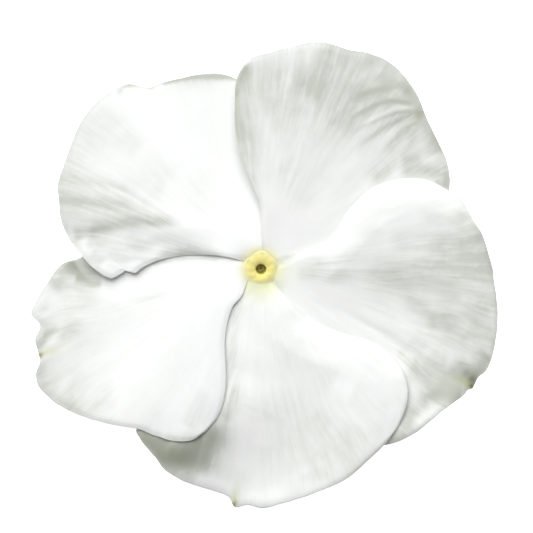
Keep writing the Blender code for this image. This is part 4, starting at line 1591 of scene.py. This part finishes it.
@dataclass(frozen=True)
class Hairs:
    """The short hairs that stand inward from the wall just below the mouth.

    Attributes:
        count, seed: how many there are, and what picks how each stands.
        radius, thinning: their radius at the foot, and the share of it that they lose.
        sides, rows: points round a hair, and rows along it.
        foot_depth, foot_height: how far their feet are set into the wall, and how high.
        aside, rise: how far they point aside and up, in radians.
        length, bend: their length, and how far their ends bend up.
        run, turn: changes of the finish along them all, and across.
        finish: their finish.
    """

    count: int = 220
    seed: int = 31
    radius: float = 0.035
    thinning: float = 0.85
    sides: int = 5
    rows: int = 4
    foot_depth: float = 0.02
    foot_height: Range = (-1.05, -0.55)
    aside: Range = (-0.5, 0.5)
    rise: Range = (-0.1, 0.7)
    length: Range = (0.30, 0.54)
    bend: float = 0.08
    run: float = 9.0
    turn: float = 7.0
    finish: GreenFinish = GreenFinish(
        "throat_hair", pale=(0.56, 0.51, 0.12), deep=(0.42, 0.38, 0.08), end=(0.56, 0.51, 0.12),
        lanes=3.0, roughness=0.6)

    def build(self, mouth: float) -> bpy.types.Object:
        """Build the hairs.

        Args:
            mouth: radius of the wall that they stand on.

        Returns:
            The hairs, as one piece.
        """
        random = np.random.default_rng(self.seed)
        shell = joined([self.hair(mouth + self.foot_depth, random) for _ in range(self.count)])
        count = len(shell.points)
        shell.traits = {"run": np.linspace(0, self.run, count),
                        "turn": np.linspace(0, self.turn, count), "end": np.zeros(count)}
        return finished("throat_hairs", shell, self.finish.material())

    def hair(self, wall: float, random: np.random.Generator) -> Shell:
        """Build one hair.

        Args:
            wall: radius that its foot stands at.
            random: draws its place, direction, length and height, in that order.

        Returns:
            The hair.
        """
        place, aside = random.uniform(0.0, FULL_TURN), random.uniform(*self.aside)
        rise, length = random.uniform(*self.rise), random.uniform(*self.length)
        foot = np.array([wall * math.cos(place), wall * math.sin(place),
                         random.uniform(*self.foot_height)])
        toward = np.array([-math.cos(place + aside) * math.cos(rise),
                           -math.sin(place + aside) * math.cos(rise), math.sin(rise)])
        one = np.cross(toward, (0.0, 0.0, 1.0))
        one /= np.linalg.norm(one)
        two = np.cross(toward, one)
        around = np.linspace(0.0, FULL_TURN, self.sides, endpoint=False)
        circle = np.cos(around)[:, None] * one + np.sin(around)[:, None] * two
        rings = []
        for share in np.linspace(0.0, 1.0, self.rows):
            middle = foot + toward * length * share + np.array([0.0, 0.0, self.bend * share**2])
            rings.append(middle + self.radius * (1.0 - self.thinning * share) * circle)
        return Shell(np.vstack(rings), round_faces(self.rows, self.sides, Ends.FLAT))


@dataclass
class Eye:
    """The puckered yellow ring round the mouth of the tube, and the hairs in the mouth.

    Attributes:
        radius, mouth: its radius, and the mouth's.
        top, rim: height of its crest, and the height from which it is puckered.
        ridge: radius and height of its top, from the mouth out.
        foot_inset: how far in from its radius its foot ends.
        bore: heights of the mouth's wall, from the foot up.
        ridge_steps, bore_steps: steps between two points of these.
        sides: points all round.
        corners: how much its five corners stand out, for its radius.
        pucker: height of its pleats and knobs.
        pleats, pleat_share: how many pleats there are, and their share of the pucker.
        knobs: the noise of its small knobs.
        mouth_drop, drop_within: how far the mouth lies below its middle, and the share of the
            way out over which that fades.
        seams_deg: where two petals meet at the eye.
        seam_width_deg: how far beside a seam the shade painted there has faded.
        corner_from: the shares of the way out between which that painted shade comes up.
        depth_from, depth_reach: height below which shade is painted on the mouth's wall, and how
            far
        down it is darkest.
        depth_within: the shares of the way out between which that ends.
        finish: its finish.
        hairs: the hairs.
    """

    radius: float = 1.70
    mouth: float = 0.50
    top: float = 0.08
    rim: float = -0.14
    ridge: tuple[Point, ...] = (
        (0.50, -0.26), (0.58, -0.14), (0.74, -0.05), (0.95, 0.00), (1.15, 0.01), (1.36, -0.02),
        (1.54, -0.05), (1.70, -0.10),
    )
    foot_inset: float = 0.05
    bore: tuple[float, ...] = (-0.52, -0.44, -0.36)
    ridge_steps: int = 8
    bore_steps: int = 4
    sides: int = 180
    corners: float = 0.018
    pucker: float = 0.030
    pleats: int = 10
    pleat_share: float = 0.6
    knobs: tuple[Layer, ...] = (Layer(1.1, 16.0, 3.0, 71), Layer(0.35, 48.0, 6.0, 72))
    mouth_drop: float = 0.14
    drop_within: float = 0.9
    seams_deg: tuple[float, ...] = (10.6, 86.0, 152.0, 223.0, 305.0)
    seam_width_deg: float = 11.0
    corner_from: Range = (0.5, 0.9)
    depth_from: float = -0.12
    depth_reach: float = 0.35
    depth_within: Range = (0.1, 0.4)
    finish: EyeFinish = EyeFinish()
    hairs: Hairs = Hairs()

    def build(self) -> list[bpy.types.Object]:
        """Build the ring, and the hairs in its mouth.

        Returns:
            The ring and the hairs.
        """
        arch = smooth_line(self.ridge, self.ridge_steps)
        bore = smooth_line([(self.mouth, height) for height in self.bore], self.bore_steps)
        profile = np.vstack([arch, [[self.radius - self.foot_inset, self.bore[0]]], bore])
        shell = turned(profile, self.sides, Ends.RING, self.shape)
        outward = np.hypot(shell.points[:, 0], shell.points[:, 1])
        outward = (outward - self.mouth) / (self.radius - self.mouth)
        shell.points[:, 1] -= self.mouth_drop * (1.0 - smooth(0.0, self.drop_within, outward))
        x, y, z = shell.points.T
        angle = np.degrees(np.arctan2(y, x))
        # Where shade is painted at the seams.
        corner = sum(
            bell((angle - seam + 180) % 360 - 180, self.seam_width_deg) for seam in self.seams_deg
        )
        # How deep the shade painted down the mouth is.
        depth = np.clip((self.depth_from - z) / self.depth_reach, 0.0, 1.0)
        shell.traits |= {
            "outward": np.clip(outward, 0.0, 1.0),
            "corner": corner * smooth(*self.corner_from, outward),
            "depth": depth * (1.0 - smooth(*self.depth_within, outward)),
        }
        ring = finished("throat_eye", shell, self.finish.material(), ("throat_eye",))
        return [ring, self.hairs.build(self.mouth)]

    def shape(self, radius: Array, height: Array, angle: Array) -> tuple[Array, Array]:
        """Pucker the ring: five soft corners, pleats and small knobs, strongest on the crest.

        Args:
            radius: radius of each point.
            height: its height.
            angle: its angle.

        Returns:
            The changed radii and heights.
        """
        outward = (radius - self.mouth) / (self.radius - self.mouth)
        radius = radius * (1.0 + self.corners * outward * np.cos(FIVE * (angle - CORNER_ANGLE)))
        crest = np.clip((height - self.rim) / (self.top - self.rim), 0.0, 1.0)
        around = angle / FULL_TURN
        bumps = np.cos(self.pleats * angle) * self.pleat_share
        bumps = sum((layer.felt(around, outward) for layer in self.knobs), bumps)
        return radius, height + crest * self.pucker * bumps


@dataclass(frozen=True)
class Anthers:
    """The five anthers, slim grains with a groove, set round the swelling of the tube.

    Attributes:
        profile, steps: radius and height of a grain from its top down, and the steps between.
        sides: points round a grain.
        ring_radius: how far from the axis they stand.
        groove, groove_width: depth of the groove, for the grain's radius, and how far beside
            its middle it has faded, in radians.
        finish: their finish.
    """

    profile: tuple[Point, ...] = (
        (0.10, -4.05), (0.20, -4.4), (0.24, -5.0), (0.25, -5.6), (0.20, -6.3), (0.10, -6.75),
    )
    steps: int = 4
    sides: int = 24
    ring_radius: float = 0.92
    groove: float = 0.22
    groove_width: float = 0.5
    finish: GreenFinish = GreenFinish(
        "anther_skin", pale=(0.86, 0.78, 0.42), deep=(0.70, 0.58, 0.24), end=(0.55, 0.46, 0.2),
        lanes=8.0, roughness=0.6)

    def build(self) -> bpy.types.Object:
        """Build the anthers.

        Returns:
            The anthers, as one piece.
        """
        shell = joined([self.anther(FULL_TURN * index / FIVE) for index in range(FIVE)])
        shell.traits["end"] = np.zeros(len(shell.points))
        return finished("anthers", shell, self.finish.material())

    def anther(self, angle: float) -> Shell:
        """Build one anther.

        Args:
            angle: where it stands round the axis.

        Returns:
            The anther.
        """
        shell = turned(smooth_line(self.profile, self.steps), self.sides, Ends.POLES, self.shape)
        shell.points = turned_round(shell.points, angle)
        shell.points[:, :2] += self.ring_radius * np.array([math.cos(angle), math.sin(angle)])
        return shell

    def shape(self, radius: Array, height: Array, angle: Array) -> tuple[Array, Array]:
        """Press in the lengthwise groove."""
        return radius * (1.0 - self.groove * bell(angle - math.pi, self.groove_width)), height


@dataclass
class Tube:
    """The slender tube, from its flare under the petals down to its foot, and its anthers.

    Attributes:
        outside, bore: radius and height of its outside, from the flare down, and of its bore,
            from the foot up.
        steps, sides: steps between two points of these, and points all round.
        inner_radius: what parts the bore from the outside where both are narrow.
        ribs, ribs_below: height of the five ribs, and the height below which they stand.
        pale_from, pale_share: heights between which it takes its end's colour on the way up,
            and how much of it.
        throat_from: heights between which the bore takes the throat's colour.
        finish: its finish.
        anthers: the anthers.
    """

    outside: tuple[Point, ...] = (
        (3.2, -0.95), (3.18, -1.20), (2.5, -1.75), (1.75, -2.35), (1.35, -3.0), (1.50, -3.8),
        (1.62, -5.0), (1.60, -6.6), (1.35, -8.2), (1.12, -10.0), (1.08, -15.0), (1.10, -20.5),
        (1.25, -22.5), (1.38, -24.0), (1.36, -25.85),
    )
    bore: tuple[Point, ...] = (
        (0.92, -25.85), (0.95, -24.0), (0.85, -22.8), (0.66, -20.8), (0.64, -15.0),
        (0.66, -10.0), (0.90, -8.2), (1.15, -6.6), (1.17, -5.0), (1.05, -3.8), (0.62, -2.9),
        (0.53, -2.2), (0.53, -0.56), (1.2, -0.60), (1.75, -0.72),
    )
    steps: int = 6
    sides: int = 140
    inner_radius: float = 1.0
    ribs: float = 0.025
    ribs_below: float = -2.6
    pale_from: Range = (-9.0, -1.5)
    pale_share: float = 0.8
    throat_from: Range = (-6.0, -3.0)
    finish: GreenFinish = GreenFinish(
        "tube_skin", pale=(0.80, 0.84, 0.66), deep=(0.62, 0.70, 0.42), end=(0.90, 0.92, 0.84),
        lanes=26.0, roughness=0.52, through=0.25)
    anthers: Anthers = Anthers()

    def build(self) -> list[bpy.types.Object]:
        """Build the tube, and the five anthers on its wall.

        Returns:
            The tube and the anthers.
        """
        lines = [smooth_line(line, self.steps) for line in (self.outside, self.bore)]
        shell = turned(np.vstack(lines), self.sides, Ends.RING, self.shape)
        x, y, z = shell.points.T
        shell.traits["end"] = smooth(*self.pale_from, z) * self.pale_share
        inside = np.hypot(x, y) < self.inner_radius
        shell.traits["throat"] = inside * smooth(*self.throat_from, z)
        tube = finished("corolla_tube", shell, self.finish.material(), ("corolla_tube",))
        return [tube, self.anthers.build()]

    def shape(self, radius: Array, height: Array, angle: Array) -> tuple[Array, Array]:
        """Raise the five ribs of the outside, and keep the bore smooth.

        Args:
            radius: radius of each point.
            height: its height.
            angle: its angle.

        Returns:
            The changed radii and heights.
        """
        skin = (radius > self.inner_radius) & (height < self.ribs_below)
        rib = np.cos(FIVE * (angle - CORNER_ANGLE))
        return radius + np.where(skin, self.ribs * rib, 0.0), height


@dataclass
class Pistil:
    """The pistil, from the ovary up to the head just below the anthers.

    Attributes:
        profile, steps: its radius and height from the top down, and the steps between.
        sides: points all round.
        head_from: heights between which it takes the head's colour.
        finish: its finish.
    """

    profile: tuple[Point, ...] = (
        (0.04, -4.1), (0.22, -4.2), (0.34, -4.6), (0.34, -5.2), (0.42, -5.6), (0.40, -6.2),
        (0.19, -6.6), (0.18, -14.0), (0.20, -22.4), (0.26, -23.2), (0.52, -24.2), (0.58, -25.2),
        (0.42, -26.0), (0.05, -26.0),
    )
    steps: int = 6
    sides: int = 48
    head_from: Range = (-7.0, -5.5)
    finish: GreenFinish = GreenFinish(
        "pistil_skin", pale=(0.78, 0.82, 0.52), deep=(0.60, 0.66, 0.30), end=(0.86, 0.86, 0.66),
        lanes=12.0)

    def build(self) -> list[bpy.types.Object]:
        """Build the pistil.

        Returns:
            The pistil.
        """
        shell = turned(smooth_line(self.profile, self.steps), self.sides, Ends.POLES)
        shell.traits["end"] = smooth(*self.head_from, shell.points[:, 2])
        return [finished("pistil", shell, self.finish.material(), ("pistil",))]


@dataclass
class Calyx:
    """The green cup round the tube's foot, with five narrow pointed sepals.

    Attributes:
        cup, cup_steps: radius and height of the cup, from inside over the brim and down, and
            the steps between.
        sides, sepal_sides: points round the cup, and round a sepal.
        line, steps: a sepal's radius and height from the foot up, and the steps between.
        widths, half: its widths on the way, next to the greatest, and half of that.
        thick, thin_below: its thickness, and the half width below which it is thinner.
        keel, keel_width: height of the keel along its back, and how far aside it has faded.
        bend, bend_phase: how far its end bends aside; the bend's phase at the first sepal, and
            from one to the next.
        cupped: how much its sides bend in, for each square millimetre.
        point: how far its point stands out over the line.
        first_deg: where the first sepal stands.
        run, turn: changes of the finish along a sepal, and how its streaks spread.
        brown_from, brown_share: the shares of the way between which it takes its end's colour,
            and how much of it.
        finish: its finish.
    """

    cup: tuple[Point, ...] = (
        (0.05, -26.3), (1.36, -26.3), (1.60, -25.9), (1.62, -24.9), (1.86, -24.72), (2.10, -25.2),
        (2.10, -26.2), (1.75, -27.0), (1.15, -27.6), (0.05, -27.6),
    )
    cup_steps: int = 5
    sides: int = 120
    line: tuple[Point, ...] = (
        (1.92, -26.3), (1.96, -25.2), (1.94, -24.0), (2.00, -22.8), (2.18, -21.6), (2.60, -20.45),
    )
    widths: tuple[float, ...] = (0.95, 1.0, 0.90, 0.72, 0.46, 0.04)
    half: float = 0.52
    steps: int = 6
    sepal_sides: int = 20
    thick: float = 0.24
    thin_below: float = 0.25
    keel: float = 0.10
    keel_width: float = 0.14
    bend: float = 0.18
    bend_phase: Pair = (0.7, 2.1)
    cupped: float = 0.25
    point: float = 0.05
    first_deg: float = 18.0
    run: float = 1.2
    turn: float = 0.1
    brown_from: Range = (0.86, 1.0)
    brown_share: float = 0.8
    finish: GreenFinish = GreenFinish(
        "calyx_skin", pale=(0.34, 0.50, 0.17), deep=(0.17, 0.31, 0.08), end=(0.42, 0.36, 0.14),
        lanes=40.0, roughness=0.48)

    def build(self) -> list[bpy.types.Object]:
        """Build the cup and the sepals as one piece.

        Returns:
            The calyx.
        """
        cup = turned(smooth_line(self.cup, self.cup_steps), self.sides, Ends.POLES)
        cup.traits["end"] = np.zeros(len(cup.points))
        whole = joined([cup, *(self.sepal(index) for index in range(FIVE))])
        return [finished("calyx", whole, self.finish.material(), ("calyx",))]

    def sepal(self, index: int) -> Shell:
        """Build one sepal.

        Args:
            index: its number, which picks its place and its small bend.

        Returns:
            The sepal.
        """
        line = smooth_line(self.line, self.steps)
        widths = smooth_line([(width, 0.0) for width in self.widths], self.steps)[:, :1]
        widths = widths * self.half
        rows, sides = len(line), self.sepal_sides
        along = np.linspace(0.0, 1.0, rows)
        around = np.linspace(0.0, FULL_TURN, sides, endpoint=False)
        wide = widths * np.cos(around)[None]
        thinner = np.minimum(1.0, widths / self.thin_below)
        deep = 0.5 * self.thick * thinner * np.sin(around)[None]
        keel = self.keel * bell(wide, self.keel_width) * (np.sin(around)[None] > 0)
        phase, step = self.bend_phase
        bend = self.bend * along[:, None] ** 2 * math.sin(step * index + phase)
        x = line[:, :1] + deep + keel - self.cupped * wide**2
        z = np.repeat(line[:, 1:], sides, axis=1)
        points = np.stack([x, wide + bend, z], axis=-1).reshape(-1, 3)
        (foot_x, foot_z), (end_x, end_z) = line[0], line[-1]
        poles = [[foot_x, 0.0, foot_z], [end_x, bend[-1, 0], end_z + self.point]]
        angle = math.radians(self.first_deg + 360.0 / FIVE * index)
        points = turned_round(np.vstack([points, poles]), angle)
        share = np.append(np.repeat(along, sides), [0.0, 1.0])
        return Shell(points, round_faces(rows, sides, Ends.POLES), {
            "run": share * self.run,
            "turn": index / FIVE + self.turn * np.hypot(points[:, 0], points[:, 1]),
            "end": smooth(*self.brown_from, share) * self.brown_share,
        })


@dataclass
class Stalk:
    """The short stalk, cut across at its end.

    Attributes:
        profile, steps: its radius and height from the calyx down, and the steps between.
        sides: points all round.
        ridge, ridges: height of its fine ridges, for its radius, and their number.
        cut_from, cut_within: heights and radii between which it takes the cut's colour.
        finish: its finish.
    """

    profile: tuple[Point, ...] = (
        (0.04, -27.9), (0.98, -27.9), (1.02, -28.0), (0.86, -28.6), (0.72, -29.6), (0.66, -31.0),
        (0.66, -32.12), (0.62, -32.2), (0.03, -32.2),
    )
    steps: int = 6
    sides: int = 90
    ridge: float = 0.03
    ridges: int = 9
    cut_from: Range = (-32.17, -32.2)
    cut_within: Range = (0.5, 0.62)
    finish: GreenFinish = GreenFinish(
        "stalk_skin", pale=(0.44, 0.56, 0.24), deep=(0.28, 0.40, 0.13), end=(0.70, 0.74, 0.46),
        lanes=22.0)

    def build(self) -> list[bpy.types.Object]:
        """Build the stalk.

        Returns:
            The stalk.
        """
        line = smooth_line(self.profile, self.steps)
        shell = turned(line, self.sides, Ends.POLES, self.shape)
        x, y, z = shell.points.T
        within = 1.0 - smooth(*self.cut_within, np.hypot(x, y))
        shell.traits["end"] = smooth(*self.cut_from, z) * within
        shell.points = above_floor(shell.points)
        return [finished("pedicel", shell, self.finish.material(), ("pedicel",))]

    def shape(self, radius: Array, height: Array, angle: Array) -> tuple[Array, Array]:
        """Raise the stalk's fine ridges."""
        return radius * (1.0 + self.ridge * np.cos(self.ridges * angle)), height


@dataclass(frozen=True)
class Lamp:
    """A large soft lamp, far away.

    Attributes:
        name: its name.
        strength: its strength.
        angle_deg: how wide it looks from the flower.
        place: the direction to it.
        on_flower: whether that is in the flower's own frame, not the floor's.
    """

    name: str
    strength: float
    angle_deg: float
    place: tuple[float, float, float]
    on_flower: bool = False

    def hang(self) -> None:
        """Hang the lamp."""
        lamp = bpy.data.lights.new(self.name, "SUN")
        lamp.energy = self.strength
        lamp.angle = math.radians(self.angle_deg)
        holder = bpy.data.objects.new(self.name, lamp)
        bpy.context.scene.collection.objects.link(holder)
        toward = Vector(self.place)
        if self.on_flower:
            toward = FLOWER.to_3x3() @ toward
        holder.rotation_mode = "QUATERNION"
        holder.rotation_quaternion = toward.to_track_quat("Z", "Y")


@dataclass
class Studio:
    """The floor, the soft light and the camera.

    Attributes:
        floor_side: side of the floor, in metres.
        floor_colours, floor_clouds, floor_scale: the two colours of its faint clouds, their
            noise, and its units to a metre.
        floor_finish: the rest of its shader.
        sky: strength of the pale sky.
        lamps: the lamps.
        view_width, view_centre: width of the view at the eye, and its middle.
        view_distance, sensor: distance of the camera, and width of its sensor.
        clip: nearest and farthest that it sees, in metres.
    """

    floor_side: float = 3.0
    floor_colours: tuple[Colour, Colour] = ((0.80, 0.80, 0.80), (0.83, 0.83, 0.83))
    floor_clouds: Grain = Grain(1.0)
    floor_scale: float = 8.0
    floor_finish: tuple[tuple[str, Any], ...] = (
        ("Roughness", 0.9), ("Specular IOR Level", 0.1), ("Emission Color", (1.0, 1.0, 1.0)),
        ("Emission Strength", 0.84),
    )
    sky: float = 0.24
    lamps: tuple[Lamp, ...] = (
        Lamp("key", 3.82, 60.0, (-0.20, 0.70, 0.69), on_flower=True),
        Lamp("back", 1.5, 70.0, (0.25, 1.0, 0.12)),
    )
    view_width: float = 53.3
    view_centre: Point = (0.55, 0.15)
    view_distance: float = 500.0
    sensor: float = 36.0
    clip: Range = (0.01, 20.0)

    def build(self) -> None:
        """Set the stage."""
        self.build_floor()
        self.build_sky()
        for lamp in self.lamps:
            lamp.hang()
        self.build_camera()
        bpy.context.scene.view_settings.view_transform = "Standard"

    def build_floor(self) -> None:
        """Lay the plain pale floor."""
        half = self.floor_side / 2
        mesh = bpy.data.meshes.new("floor")
        mesh.from_pydata([(-half, -half, 0), (half, -half, 0), (half, half, 0), (-half, half, 0)],
                         [], [(0, 1, 2, 3)])
        book = Book("floor_white")
        clouds = book.noise(book.place(self.floor_scale), self.floor_clouds)
        colour = book.mix(clouds, *self.floor_colours)
        mesh.materials.append(book.surface(dict(self.floor_finish), {"Base Color": colour}))
        floor = bpy.data.objects.new("floor", mesh)
        bpy.context.scene.collection.objects.link(floor)
        floor.visible_diffuse = False

    def build_sky(self) -> None:
        """Make the pale sky."""
        world = bpy.data.worlds.new("studio")
        bpy.context.scene.world = world
        world.use_nodes = True
        sky = world.node_tree.nodes["Background"]
        sky.inputs[0].default_value = (1.0, 1.0, 1.0, 1.0)
        sky.inputs[1].default_value = self.sky

    def build_camera(self) -> None:
        """Look straight into the flower's face."""
        lens = bpy.data.cameras.new("camera")
        lens.sensor_width = self.sensor
        lens.lens = self.sensor * self.view_distance / self.view_width
        lens.clip_start, lens.clip_end = self.clip
        camera = bpy.data.objects.new("camera", lens)
        bpy.context.scene.collection.objects.link(camera)
        place = Vector((*self.view_centre, self.view_distance)) * MM
        camera.matrix_world = FLOWER @ Matrix.Translation(place)
        bpy.context.scene.camera = camera


def main() -> None:
    """Build the flower and its stage."""
    logging.basicConfig(level=logging.INFO, format="%(name)s: %(message)s")
    assemblies = (Corolla(), Eye(), Tube(), Pistil(), Calyx(), Stalk())
    for assembly in assemblies:
        assembly.build()
    Studio().build()


if __name__ == "__main__":
    main()
